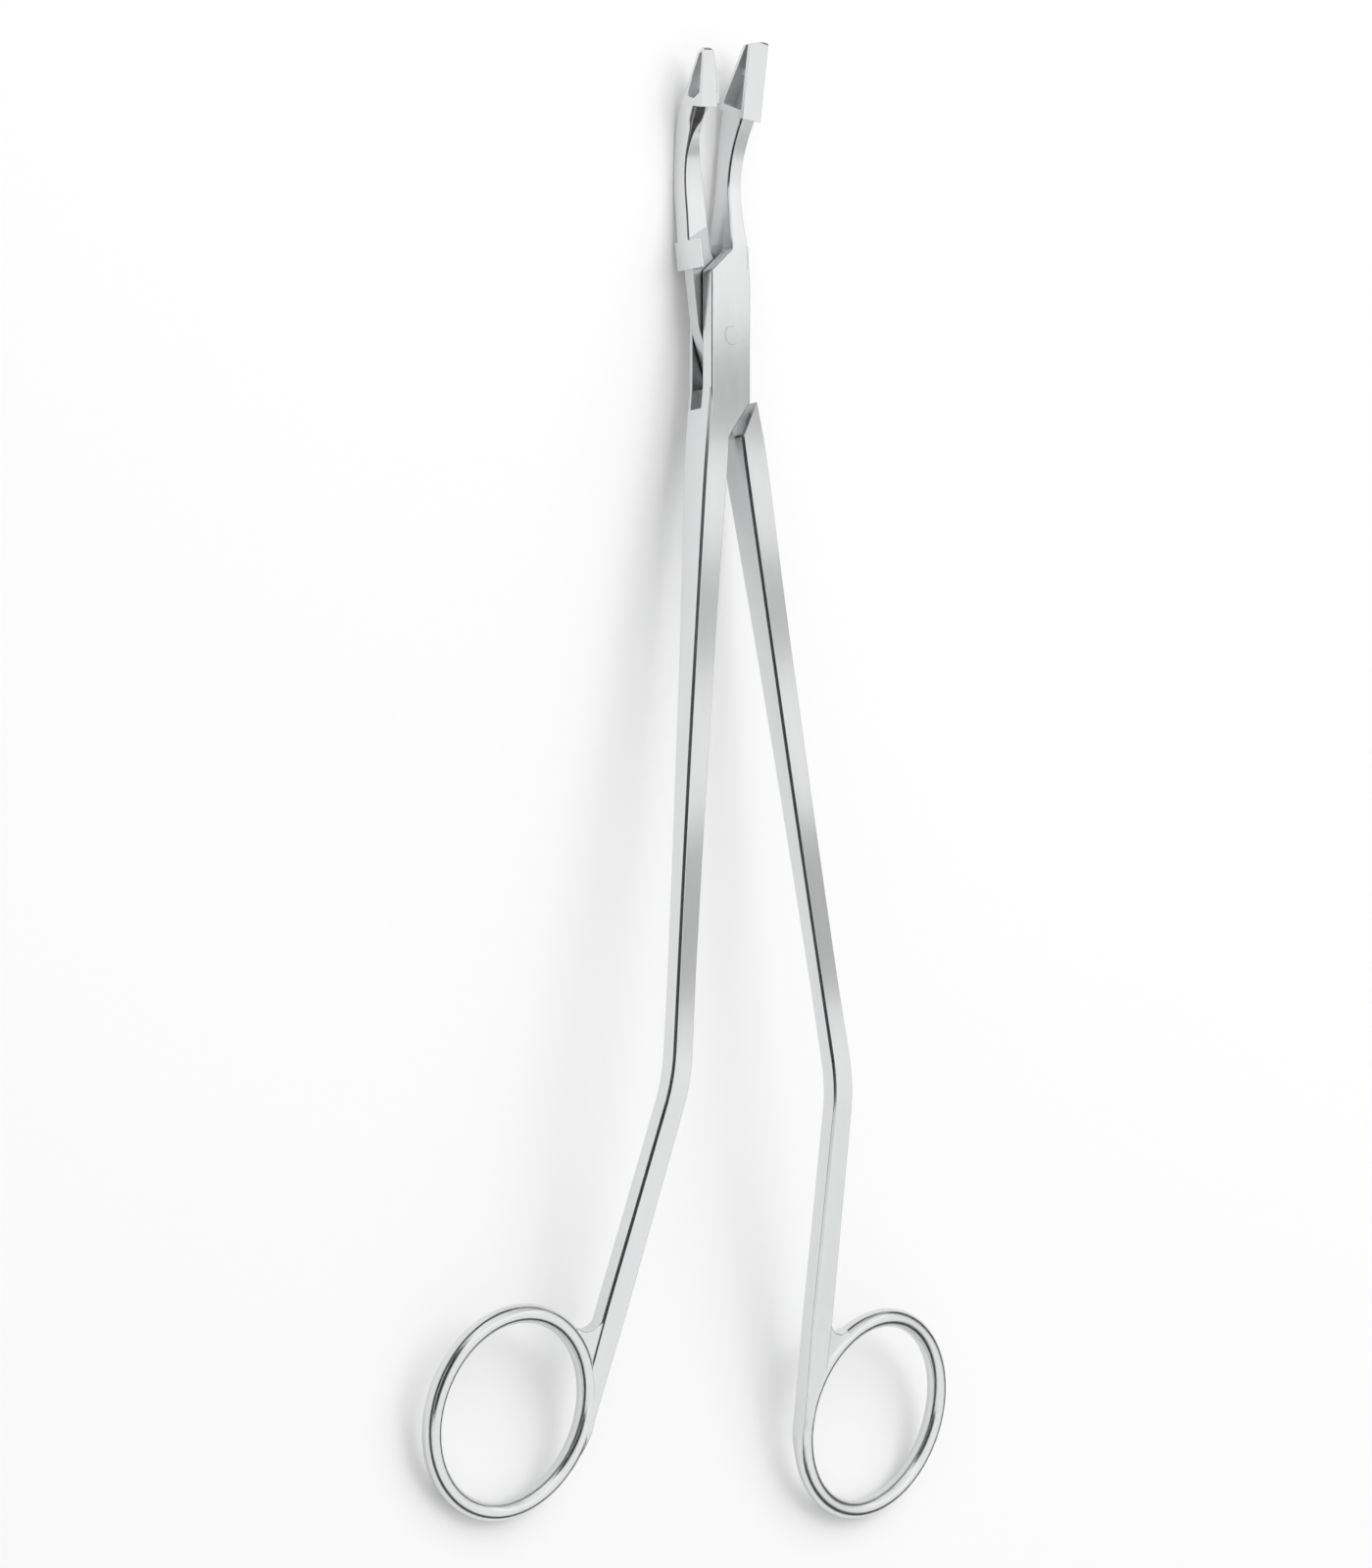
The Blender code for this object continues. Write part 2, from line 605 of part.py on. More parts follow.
def make_teardrop():
    """A tapering opening through the punch: wide on its outer face, narrower in the plug."""
    outer = rounded(OPENING_OUTER, 0.6, 2)
    inner = rounded(OPENING_INNER, 0.5, 2)
    rings = []
    for x, outline in ((-PUNCH_BASE_W - 0.6, outer), (-PUNCH_TOP_W + 0.4, outer), (-1.2, inner),
                       (PLUG_REACH + 1.0, inner)):
        rings.append([Vector((x, along, up)) for along, up in outline])
    return loft("teardrop", rings)


def make_punch_arm():
    """Handle, tongue, neck, stop and punch in one piece, with the pin's eye."""
    arm = make_handle(1)
    low, high = tongue_levels()
    tongue = plate("tongue", tongue_edges(), low, high)
    clear = plate("clear", [(-12.0, -BOX_SIDE_BOTTOM - 0.3), (-12.0, BOX_SIDE_TOP + 0.9),
                            (12.0, BOX_SIDE_TOP + 12.0), (12.0, -BOX_SIDE_BOTTOM - 0.55),
                            (0.5 * BOX_W, -BOX_SIDE_BOTTOM - 0.55),
                            (0.35, -BOX_SLANT_BOTTOM - 0.5), (-12.0, -BOX_SLANT_BOTTOM - 0.5)],
                  -12.0, 12.0)
    shank = boolean(arm, [clear], "DIFFERENCE")
    boolean(shank, [tongue], "UNION")
    neck = boolean(make_male_neck(), make_lock_room(), "DIFFERENCE")
    boolean(shank, [neck], "UNION")
    boolean(shank, [make_lug()], "UNION")
    boolean(shank, [make_punch()], "UNION")
    boolean(shank, [make_teardrop()], "DIFFERENCE")
    boolean(shank, [cylinder("eye", PIN_R + PIN_CLEAR, low - 1.0, high + 1.0)], "DIFFERENCE")
    return shank


def make_pin():
    """The pivot pin, ground all but flush at both ends."""
    return cylinder("pin", PIN_R, -0.5 * BOX_T - PIN_PROUD, 0.5 * BOX_T + PIN_PROUD)


def finish(item, name, material):
    """Name a piece, give it its steel and clean its mesh."""
    item.name = name
    item.data.name = name
    item.data.materials.clear()
    item.data.materials.append(material)
    work = bmesh.new()
    work.from_mesh(item.data)
    bmesh.ops.remove_doubles(work, verts=work.verts, dist=2e-6)
    bmesh.ops.dissolve_degenerate(work, dist=1e-6, edges=work.edges)
    work.to_mesh(item.data)
    work.free()
    item.data.shade_smooth()
    item.data.set_sharp_from_angle(angle=math.radians(28.0))


def lowest(item, near, far):
    """The lowest world point of an item between two lines across its own length."""
    points = [item.matrix_world @ vertex.co for vertex in item.data.vertices
              if near * MM < vertex.co.y < far * MM]
    return min(points, key=lambda point: point.z)


def rest_on_floor(frame, basket_arm, punch_arm):
    """Turn the frame until both rings and the front half stand on one plane, then lift it."""
    for _ in range(12):
        bpy.context.view_layer.update()
        left = lowest(basket_arm, -300.0, -100.0)
        right = lowest(punch_arm, -300.0, -100.0)
        tips = (lowest(basket_arm, 0.0, 100.0), lowest(punch_arm, 0.0, 100.0))
        tip = min(tips, key=lambda point: point.z)
        normal = (right - left).cross(tip - left).normalized()
        turn = normal.rotation_difference(Vector((0.0, 0.0, 1.0)))
        frame.rotation_quaternion = turn @ frame.rotation_quaternion
    bpy.context.view_layer.update()
    floor = min(lowest(item, -300.0, 100.0).z for item in (basket_arm, punch_arm))
    frame.location = (0.0, 0.0, -floor)


def centre_on_origin(frame, items):
    """Centre the model over the origin."""
    bpy.context.view_layer.update()
    places = [item.matrix_world @ vertex.co for item in items for vertex in item.data.vertices]
    for axis in (0, 1):
        values = [p[axis] for p in places]
        frame.location[axis] -= 0.5 * (min(values) + max(values))


def main():
    """Make the three pieces, lay them at rest and centre them."""
    clear_scene()
    satin = make_material("satin_steel", STEEL, 0.32)
    bright = make_material("bright_steel", STEEL, 0.28)
    peened = make_material("pin_steel", (0.58, 0.59, 0.60, 1.0), 0.35)
    frame = bpy.data.objects.new("rest_frame", None)
    swing = bpy.data.objects.new("punch_swing", None)
    for empty in (frame, swing):
        bpy.data.collections[PART_NAME].objects.link(empty)
    frame.rotation_mode = "QUATERNION"
    swing.parent = frame
    swing.rotation_euler = (0.0, 0.0, math.radians(OPEN_DEG))
    basket_arm = make_basket_arm()
    punch_arm = make_punch_arm()
    pin = make_pin()
    finish(basket_arm, "basket_arm", satin)
    finish(punch_arm, "punch_arm", bright)
    finish(pin, "pivot_pin", peened)
    basket_arm.parent = frame
    pin.parent = frame
    punch_arm.parent = swing
    items = (basket_arm, punch_arm, pin)
    rest_on_floor(frame, basket_arm, punch_arm)
    centre_on_origin(frame, items)


main()
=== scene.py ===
"""Cervical biopsy punch, finished for pictures: two forged steel arms, their pin and a studio.

The arms are modelled in the lock's own frame, in millimetres: the joint is the origin, +X runs
across, +Y to the tips and +Z is the front. Each finished piece is then laid down at rest.
"""
import logging
import math
from dataclasses import dataclass, field
from enum import Enum
from typing import Callable, Iterable, Sequence

import bmesh
import bpy
from mathutils import Matrix, Vector


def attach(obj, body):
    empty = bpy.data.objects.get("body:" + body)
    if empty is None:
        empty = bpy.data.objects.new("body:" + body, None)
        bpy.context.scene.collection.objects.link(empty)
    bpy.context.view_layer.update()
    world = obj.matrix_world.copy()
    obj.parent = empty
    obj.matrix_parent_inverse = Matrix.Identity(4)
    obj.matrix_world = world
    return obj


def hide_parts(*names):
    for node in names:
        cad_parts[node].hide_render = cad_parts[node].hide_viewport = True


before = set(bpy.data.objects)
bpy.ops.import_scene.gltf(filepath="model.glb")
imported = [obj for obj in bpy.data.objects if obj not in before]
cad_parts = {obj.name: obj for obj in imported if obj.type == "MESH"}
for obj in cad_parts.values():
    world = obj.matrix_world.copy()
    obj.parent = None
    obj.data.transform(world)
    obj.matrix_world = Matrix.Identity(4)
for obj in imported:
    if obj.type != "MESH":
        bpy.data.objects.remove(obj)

LOG = logging.getLogger("biopsy_punch")
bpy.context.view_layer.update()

MM = 0.001
SHARP_TURN = math.radians(25.0)  # faces that turn by more than this meet at an edge
MOST_OF_SIDE = 0.45  # the largest share of a side that one rounding takes
ACROSS = Vector((1.0, 0.0, 0.0))

WHITE = (1.0, 1.0, 1.0, 1.0)
BLACK = (0.0, 0.0, 0.0, 1.0)
SATIN = (0.75, 0.755, 0.76)
BRIGHT = (0.74, 0.745, 0.75)
DARK = (0.66, 0.665, 0.67)
# a tone paler than the steel: painted light that lifts the shade in hollows
PAINTED_LIGHT_PALE = (0.88, 0.885, 0.89)
RUBBED = (0.86, 0.87, 0.88, 1.0)

Pair = tuple[float, float]
Rows = tuple[tuple[float, ...], ...]
Outline = list[Pair]
Ring = list[Vector]
Item = bpy.types.Object
Material = bpy.types.Material
Tree = bpy.types.NodeTree
Node = bpy.types.Node
Socket = bpy.types.NodeSocket


class Side(Enum):
    """Which way an arm's handle goes from the joint, seen from the front."""

    LEFT = -1
    RIGHT = 1


class Lay(Enum):
    """Which way the finishing scratches run on a surface."""

    LENGTHWISE = (26.0, 0.9, 26.0)
    CROSSWISE = (1.4, 20.0, 8.0)


@dataclass(frozen=True)
class RestPose:
    """Where the lock's frame lies once the instrument rests on its rings and neck."""

    across: Vector = Vector((0.999968, 0.000420, 0.007931))
    along: Vector = Vector((0.000419, 0.994421, -0.105481))
    front: Vector = Vector((-0.0079311, 0.1054808, 0.9943897))
    joint: Vector = Vector((-0.0130341, 0.0723082, 0.0051863))
    open_deg: float = 8.6

    def matrix(self, swings: bool) -> Matrix:
        """Return the move from the lock's frame to the floor's.

        Args:
            swings: True for the arm that stands open about the joint.

        Returns:
            A matrix in metres.
        """
        lay = axes(self.across, self.along, self.front, self.joint)
        if swings:
            lay = lay @ Matrix.Rotation(math.radians(self.open_deg), 4, "Z")
        return lay


def axes(across: Vector, up: Vector, front: Vector, place: Vector) -> Matrix:
    """Return the move that takes X, Y and Z to three directions and the origin to a place."""
    move = Matrix((across, up, front)).transposed().to_4x4()
    move.translation = place
    return move


# Modelling operations, done as at the bench: a blank is added, drawn out, cut and rounded


def deselect_all() -> None:
    """Leave edit mode and clear the selection."""
    if bpy.context.mode != "OBJECT":
        bpy.ops.object.mode_set(mode="OBJECT")
    bpy.ops.object.select_all(action="DESELECT")


def pick(item: Item) -> None:
    """Select one object alone and make it active."""
    deselect_all()
    item.select_set(True)
    bpy.context.view_layer.objects.active = item


def newest(name: str) -> Item:
    """Name the object that was just added and return it."""
    item = bpy.context.object
    item.name = name
    return item


def worked(item: Item, modifier: str, **settings: object) -> Item:
    """Give an object a modifier with the given settings and apply it."""
    pick(item)
    bpy.ops.object.modifier_add(type=modifier)
    step = item.modifiers[-1]
    for name, value in settings.items():
        setattr(step, name, value)
    bpy.ops.object.modifier_apply(modifier=step.name)
    return item


def blank(name: str, corners: Sequence[Vector]) -> Item:
    """Add a filled disc and pull its rim to the given corners.

    Args:
        name: the new object's name.
        corners: the face's corners in order, in millimetres.

    Returns:
        An object of one face.
    """
    deselect_all()
    bpy.ops.mesh.primitive_circle_add(vertices=len(corners), radius=MM, fill_type="NGON")
    item = newest(name)
    for vertex, corner in zip(item.data.vertices, corners):
        vertex.co = corner * MM
    return item


def outward(item: Item) -> None:
    """Merge doubled corners and point every face out."""
    pick(item)
    bpy.ops.object.mode_set(mode="EDIT")
    bpy.ops.mesh.select_all(action="SELECT")
    bpy.ops.mesh.remove_doubles(threshold=1e-7)
    bpy.ops.mesh.normals_make_consistent(inside=False)
    bpy.ops.object.mode_set(mode="OBJECT")


def drawn(name: str, rings: Sequence[Ring]) -> Item:
    """Extrude a face from section to section, as a bar is drawn out.

    Args:
        name: the new object's name.
        rings: sections of equally many corners, in millimetres.

    Returns:
        A closed solid with flat ends.
    """
    item = blank(name, rings[0])
    bpy.ops.object.mode_set(mode="EDIT")
    bpy.ops.mesh.select_all(action="SELECT")
    for here, following in zip(rings, rings[1:]):
        bpy.ops.mesh.extrude_region_move()
        work = bmesh.from_edit_mesh(item.data)
        for vertex in [vertex for vertex in work.verts if vertex.select]:
            place = vertex.co / MM
            nearest = min(range(len(here)), key=lambda k: (here[k] - place).length_squared)
            vertex.co = following[nearest] * MM
        bmesh.update_edit_mesh(item.data)
    bpy.ops.object.mode_set(mode="OBJECT")
    outward(item)
    return item


def slab(name: str, outline: Outline, low: float, high: float) -> Item:
    """Cut a flat outline in the lock's plane out of plate.

    Args:
        name: the new object's name.
        outline: (across, along) corners.
        low: height of the back face.
        high: height of the front face.

    Returns:
        A closed plate.
    """
    return drawn(name, [[Vector((x, y, level)) for x, y in outline] for level in (low, high)])


def side_slab(name: str, outline: Outline, left: float, right: float) -> Item:
    """Cut an outline seen from the side, (along, up), from left to right."""
    return drawn(name, [[Vector((x, along, up)) for along, up in outline] for x in (left, right)])


def combine(item: Item, other: Item, operation: str) -> Item:
    """Weld a solid to another or cut it away, and remove the tool.

    Args:
        item: the solid that is worked on.
        other: the solid that is added or cut away.
        operation: UNION, DIFFERENCE or INTERSECT.

    Returns:
        The worked solid.
    """
    worked(item, "BOOLEAN", operation=operation, solver="EXACT", material_mode="TRANSFER",
           object=other)
    pick(other)
    bpy.ops.object.delete()
    return item


def weld(item: Item, *others: Item) -> Item:
    """Add solids to one."""
    for other in others:
        combine(item, other, "UNION")
    return item


def cut(item: Item, *others: Item) -> Item:
    """Take solids away from one."""
    for other in others:
        combine(item, other, "DIFFERENCE")
    return item


def ease_edges(item: Item, width: float, segments: int = 3, angle: float = 40.0) -> Item:
    """Round every edge that is sharper than an angle.

    Args:
        item: the solid.
        width: how far the rounding reaches, in millimetres.
        segments: facets across the rounding.
        angle: the least turn between faces, in degrees.

    Returns:
        The rounded solid.
    """
    return worked(item, "BEVEL", width=width * MM, segments=segments, limit_method="ANGLE",
                  angle_limit=math.radians(angle))


def ease_chosen(item: Item, chosen: Callable[[Vector, Vector], bool],
                width: float, segments: int = 3) -> Item:
    """Round the sharp edges whose two ends, in millimetres, a test picks."""
    pick(item)
    bpy.ops.object.mode_set(mode="EDIT")
    bpy.ops.mesh.select_mode(type="EDGE")
    bpy.ops.mesh.select_all(action="DESELECT")
    work = bmesh.from_edit_mesh(item.data)
    for edge in work.edges:
        sharp = edge.is_manifold and edge.calc_face_angle() > SHARP_TURN
        start, end = (vertex.co / MM for vertex in edge.verts)
        edge.select_set(sharp and chosen(start, end))
    bmesh.update_edit_mesh(item.data)
    bpy.ops.mesh.bevel(offset=width * MM, segments=segments, clamp_overlap=True)
    bpy.ops.object.mode_set(mode="OBJECT")
    return item


def lay_down(item: Item, place: Matrix) -> Item:
    """Move a finished mesh to where the piece rests, its origin at the world's."""
    pick(item)
    item.matrix_world = place
    bpy.ops.object.transform_apply(location=True, rotation=True, scale=True)
    return item


def smooth(item: Item, degrees: float = 24.0) -> Item:
    """Shade round surfaces smooth, keep flats flat and edges crisp."""
    pick(item)
    bpy.ops.object.shade_smooth_by_angle(angle=math.radians(degrees))
    return worked(item, "WEIGHTED_NORMAL", keep_sharp=True)


# Outlines and sections


def rounded(outline: Outline, radii: float | Sequence[float], steps: int = 6) -> Outline:
    """Round an outline's corners.

    Args:
        outline: corners in order.
        radii: one radius, or one for each corner; 0 keeps a corner.
        steps: facets at each rounded corner.

    Returns:
        The finer outline.
    """
    points: Outline = []
    for k, corner in enumerate(outline):
        here = Vector(corner)
        before = Vector(outline[k - 1]) - here
        after = Vector(outline[(k + 1) % len(outline)]) - here
        radius = radii[k] if isinstance(radii, (list, tuple)) else radii
        if radius <= 0.0:
            points.append((here.x, here.y))
            continue
        reach = min(radius / math.tan(0.5 * before.angle(after)),
                    MOST_OF_SIDE * before.length, MOST_OF_SIDE * after.length)
        start = here + before.normalized() * reach
        end = here + after.normalized() * reach
        for j in range(steps + 1):
            t = j / steps
            bent = start.lerp(here, t).lerp(here.lerp(end, t), t)
            points.append((bent.x, bent.y))
    return points


def inset(outline: Outline, distances: Sequence[float]) -> Outline:
    """Move each side of a convex outline inwards by its own distance."""
    count = len(outline)
    area = sum(outline[k - 1][0] * outline[k][1] - outline[k][0] * outline[k - 1][1]
               for k in range(count))
    turn = 1.0 if area > 0 else -1.0
    lines = []
    for k in range(count):
        start = Vector(outline[k])
        along = (Vector(outline[(k + 1) % count]) - start).normalized()
        lines.append((start + Vector((-along.y, along.x)) * turn * distances[k], along))
    corners: Outline = []
    for k in range(count):
        (p, d), (q, e) = lines[k - 1], lines[k]
        t = ((q.x - p.x) * e.y - (q.y - p.y) * e.x) / (d.x * e.y - d.y * e.x)
        corners.append((p.x + d.x * t, p.y + d.y * t))
    return corners


def bar_section(width: float, thick: float, edge: float, soft: float = 0.16) -> Outline:
    """Return a flat bar's section, its corners chamfered and their arrises softened."""
    a, b = 0.5 * width, 0.5 * thick
    c = min(edge, MOST_OF_SIDE * width, MOST_OF_SIDE * thick)
    corners = [(a - c, b), (-a + c, b), (-a, b - c), (-a, -b + c),
               (-a + c, -b), (a - c, -b), (a, -b + c), (a, b - c)]
    return rounded(corners, soft, 2)


def toward_oval(section: Outline, width: float, thick: float, share: float) -> Outline:
    """Return a section turned by a share from a bar's into an oval of the same size."""
    turned: Outline = []
    for x, z in section:
        angle = math.atan2(z / thick, x / width)
        oval = (0.5 * width * math.cos(angle), 0.5 * thick * math.sin(angle))
        turned.append((x + (oval[0] - x) * share, z + (oval[1] - z) * share))
    return turned


def relieved_section(width: float, depth: float, relief: float, edge: float = 0.22) -> Outline:
    """Return a bar's section whose outer front corner is rolled away by the relief."""
    a, b, c = 0.5 * width, 0.5 * depth, edge
    across = min(relief, width - 0.4)
    corners = [(a - c, b), (-a + across, b), (-a, b - relief), (-a, -b + c),
               (-a + c, -b), (a - c, -b), (a, -b + c), (a, b - c)]
    return rounded(corners, [0.1, 0.12, max(0.12, 1.6 * relief)] + 5 * [0.1], 4)


def between(rows: Sequence[Sequence[float]], steps: int) -> list[list[float]]:
    """Fill a table of rows with rows on a smooth curve through them.

    Args:
        rows: the known rows.
        steps: how many rows each interval becomes.

    Returns:
        The finer table, first and last row included.
    """
    finer = []
    for k in range(len(rows) - 1):
        p0, p1, p2, p3 = (rows[min(max(j, 0), len(rows) - 1)] for j in (k - 1, k, k + 1, k + 2))
        for s in range(steps):
            t = s / steps
            finer.append([0.5 * (2 * b + (c - a) * t + (2 * a - 5 * b + 4 * c - d) * t * t
                                 + (3 * b - a - 3 * c + d) * t ** 3)
                          for a, b, c, d in zip(p0, p1, p2, p3)])
    finer.append(list(rows[-1]))
    return finer


def placed(place: Vector, across: Vector, up: Vector, section: Outline) -> Ring:
    """Set a section square on a path."""
    return [place + across * x + up * z for x, z in section]


def tilted(place: Vector, degrees: float, section: Outline) -> Ring:
    """Set a section across a neck, its front tilted back."""
    angle = math.radians(degrees)
    return placed(place, ACROSS, Vector((0.0, -math.sin(angle), math.cos(angle))), section)


# Finishes


def fill(tree: Tree, node: Node, inputs: dict[str | int, object]) -> Node:
    """Link the inputs that are given as sockets and set the others."""
    for label, value in inputs.items():
        if isinstance(value, Socket):
            tree.links.new(value, node.inputs[label])
        else:
            node.inputs[label].default_value = value
    return node


def add_node(tree: Tree, kind: str, inputs: dict[str | int, object] | None = None,
             **settings: object) -> Node:
    """Add a shader node.

    Args:
        tree: the node tree.
        kind: the node's type, without its leading ShaderNode.
        inputs: a socket or a value for each named or numbered input.
        settings: the node's own properties.

    Returns:
        The node.
    """
    node = tree.nodes.new("ShaderNode" + kind)
    for name, value in settings.items():
        setattr(node, name, value)
    return fill(tree, node, inputs or {})


def math_node(tree: Tree, operation: str, *values: object, clamp: bool = False) -> Socket:
    """Add a Math node whose inputs are numbers or sockets and return its output."""
    return add_node(tree, "Math", dict(enumerate(values)), operation=operation,
                    use_clamp=clamp).outputs[0]


def new_material(name: str) -> tuple[Material, Tree, Node]:
    """Return a new material, its node tree and its shader."""
    made = bpy.data.materials.new(name)
    made.use_nodes = True
    return made, made.node_tree, made.node_tree.nodes["Principled BSDF"]


def new_group(name: str, inputs: Iterable[tuple[str, str, object]],
              outputs: Iterable[tuple[str, str]]) -> tuple[Tree, Node, Node]:
    """Start a shader node group.

    Args:
        name: the group's name.
        inputs: name, kind (Float or Vector) and default of each input.
        outputs: name and kind of each output.

    Returns:
        The group, its input node and its output node.
    """
    group = bpy.data.node_groups.new(name, "ShaderNodeTree")
    for label, kind, default in inputs:
        socket = group.interface.new_socket(label, in_out="INPUT", socket_type="NodeSocket" + kind)
        socket.default_value = default
    for label, kind in outputs:
        group.interface.new_socket(label, in_out="OUTPUT", socket_type="NodeSocket" + kind)
    return group, group.nodes.new("NodeGroupInput"), group.nodes.new("NodeGroupOutput")


def brush_marks_group() -> None:
    """Build the fine parallel scratches of a brushed surface, as a height from 0 to 1."""
    group, given, made = new_group(
        "brush_marks",
        [("Turn", "Vector", (0.0, 0.0, 0.0)), ("Stretch", "Vector", (1.0, 1.0, 1.0)),
         ("Scale", "Float", 300.0)],
        [("Height", "Float"), ("Streak", "Float")])
    where = add_node(group, "TexCoord").outputs["Object"]
    lay = add_node(group, "Mapping", {"Vector": where, "Rotation": given.outputs["Turn"]},
                   vector_type="POINT")
    long = add_node(group, "VectorMath", {0: lay.outputs["Vector"], 1: given.outputs["Stretch"]},
                    operation="MULTIPLY").outputs["Vector"]
    fine = add_node(group, "TexNoise", {"Vector": long, "Scale": given.outputs["Scale"],
                                        "Detail": 5.0, "Roughness": 0.62})
    wide = math_node(group, "MULTIPLY", given.outputs["Scale"], 0.22)
    broad = add_node(group, "TexNoise", {"Vector": long, "Scale": wide, "Detail": 2.0})
    fill(group, made, {"Height": fine.outputs["Fac"], "Streak": broad.outputs["Fac"]})


def worn_edges_group() -> None:
    """Build the mask of arrises that handling and sterilising trays have rubbed bright."""
    group, given, made = new_group(
        "worn_edges", [("Reach", "Float", 0.0002), ("Amount", "Float", 1.0)],
        [("Mask", "Float"), ("Eased", "Vector")])
    eased = add_node(group, "Bevel", {"Radius": given.outputs["Reach"]},
                     samples=6).outputs["Normal"]
    surface = add_node(group, "NewGeometry").outputs["Normal"]
    alike = add_node(group, "VectorMath", {0: eased, 1: surface}, operation="DOT_PRODUCT")
    turned = math_node(group, "SUBTRACT", 1.0, alike.outputs["Value"])
    where = add_node(group, "TexCoord").outputs["Object"]
    patchy = add_node(group, "TexNoise", {"Vector": where, "Scale": 900.0, "Detail": 3.0})
    strong = math_node(group, "MULTIPLY", turned, 9.0)
    broken = math_node(group, "MULTIPLY", strong, patchy.outputs["Fac"])
    mask = math_node(group, "MULTIPLY", broken, given.outputs["Amount"], clamp=True)
    fill(group, made, {"Mask": mask, "Eased": eased})


def handling_group() -> None:
    """Build the slow drift in gloss that polishing by hand leaves, with faint cloudy patches."""
    group, given, made = new_group("handling", [("Scale", "Float", 60.0)],
                                   [("Drift", "Float"), ("Cloud", "Float")])
    where = add_node(group, "TexCoord").outputs["Object"]
    scale = given.outputs["Scale"]
    drift = add_node(group, "TexNoise", {"Vector": where, "Scale": scale, "Detail": 3.0})
    close = math_node(group, "MULTIPLY", scale, 6.0)
    cloud = add_node(group, "TexNoise", {"Vector": where, "Scale": close, "Detail": 6.0,
                                         "Roughness": 0.7})
    fill(group, made, {"Drift": drift.outputs["Fac"], "Cloud": cloud.outputs["Fac"]})


def effect(tree: Tree, name: str, inputs: dict[str | int, object]) -> Node:
    """Add one of the shared effects to a material."""
    return add_node(tree, "Group", inputs, node_tree=bpy.data.node_groups[name])


@dataclass(frozen=True)
class SteelFinish:
    """One way the stainless steel is finished; its lengths are in metres."""

    name: str
    colour: tuple[float, float, float]
    roughness: float
    lay: Lay
    turn_deg: float = 0.0
    tone_spread: float = 0.05
    gloss_spread: float = 0.10
    mark_depth: float = 0.10
    mark_scale: float = 42.0
    worn: float = 1.0
    edge_reach: float = 0.00012
    mark_height: float = 0.00004
    rubbed_gloss: float = 0.10
    brightest: float = 0.95
    streak_share: float = 0.6
    drift_share: float = 0.4

    def material(self) -> Material:
        """Return the finish as a material."""
        steel, tree, shader = new_material(self.name)
        marks = effect(tree, "brush_marks", {"Turn": (0.0, 0.0, math.radians(self.turn_deg)),
                                             "Stretch": self.lay.value,
                                             "Scale": self.mark_scale}).outputs
        edges = effect(tree, "worn_edges", {"Reach": self.edge_reach, "Amount": self.worn}).outputs
        handling = effect(tree, "handling", {}).outputs
        fill(tree, shader, {
            "Metallic": 1.0,
            "Base Color": self._colour(tree, marks["Streak"], handling["Drift"], edges["Mask"]),
            "Roughness": self._gloss(tree, marks["Height"], handling["Cloud"], edges["Mask"]),
            "Normal": self._relief(tree, marks["Height"], edges["Eased"])})
        return steel

    def _colour(self, tree: Tree, streak: Socket, drift: Socket, mask: Socket) -> Socket:
        """Vary the steel's tone with its streaks and patches, lighter on rubbed edges."""
        darker, lighter = 1.0 - self.tone_spread, 1.0 + self.tone_spread
        low = (*(value * darker for value in self.colour), 1.0)
        high = (*(min(value * lighter, self.brightest) for value in self.colour), 1.0)
        streaked = math_node(tree, "MULTIPLY_ADD", streak, self.streak_share, 0.0)
        share = math_node(tree, "MULTIPLY_ADD", drift, self.drift_share, streaked)
        tone = add_node(tree, "Mix", {"Factor": share, "A": low, "B": high}, data_type="RGBA")
        rubbed = add_node(tree, "Mix", {"Factor": mask, "A": tone.outputs["Result"], "B": RUBBED},
                          data_type="RGBA")
        return rubbed.outputs["Result"]

    def _gloss(self, tree: Tree, height: Socket, cloud: Socket, mask: Socket) -> Socket:
        """Let the roughness follow streaks and clouding, and drop on rubbed edges."""
        spread = self.gloss_spread
        least = self.roughness - 0.5 * spread
        streaky = math_node(tree, "MULTIPLY_ADD", height, spread, least)
        cloudy = math_node(tree, "MULTIPLY_ADD", cloud, 0.5 * spread, streaky)
        return math_node(tree, "MULTIPLY_ADD", mask, -self.rubbed_gloss, cloudy, clamp=True)

    def _relief(self, tree: Tree, height: Socket, eased: Socket) -> Socket:
        """Engrave the scratches on the eased surface."""
        return add_node(tree, "Bump", {"Strength": self.mark_depth, "Distance": self.mark_height,
                                       "Height": height, "Normal": eased}).outputs["Normal"]


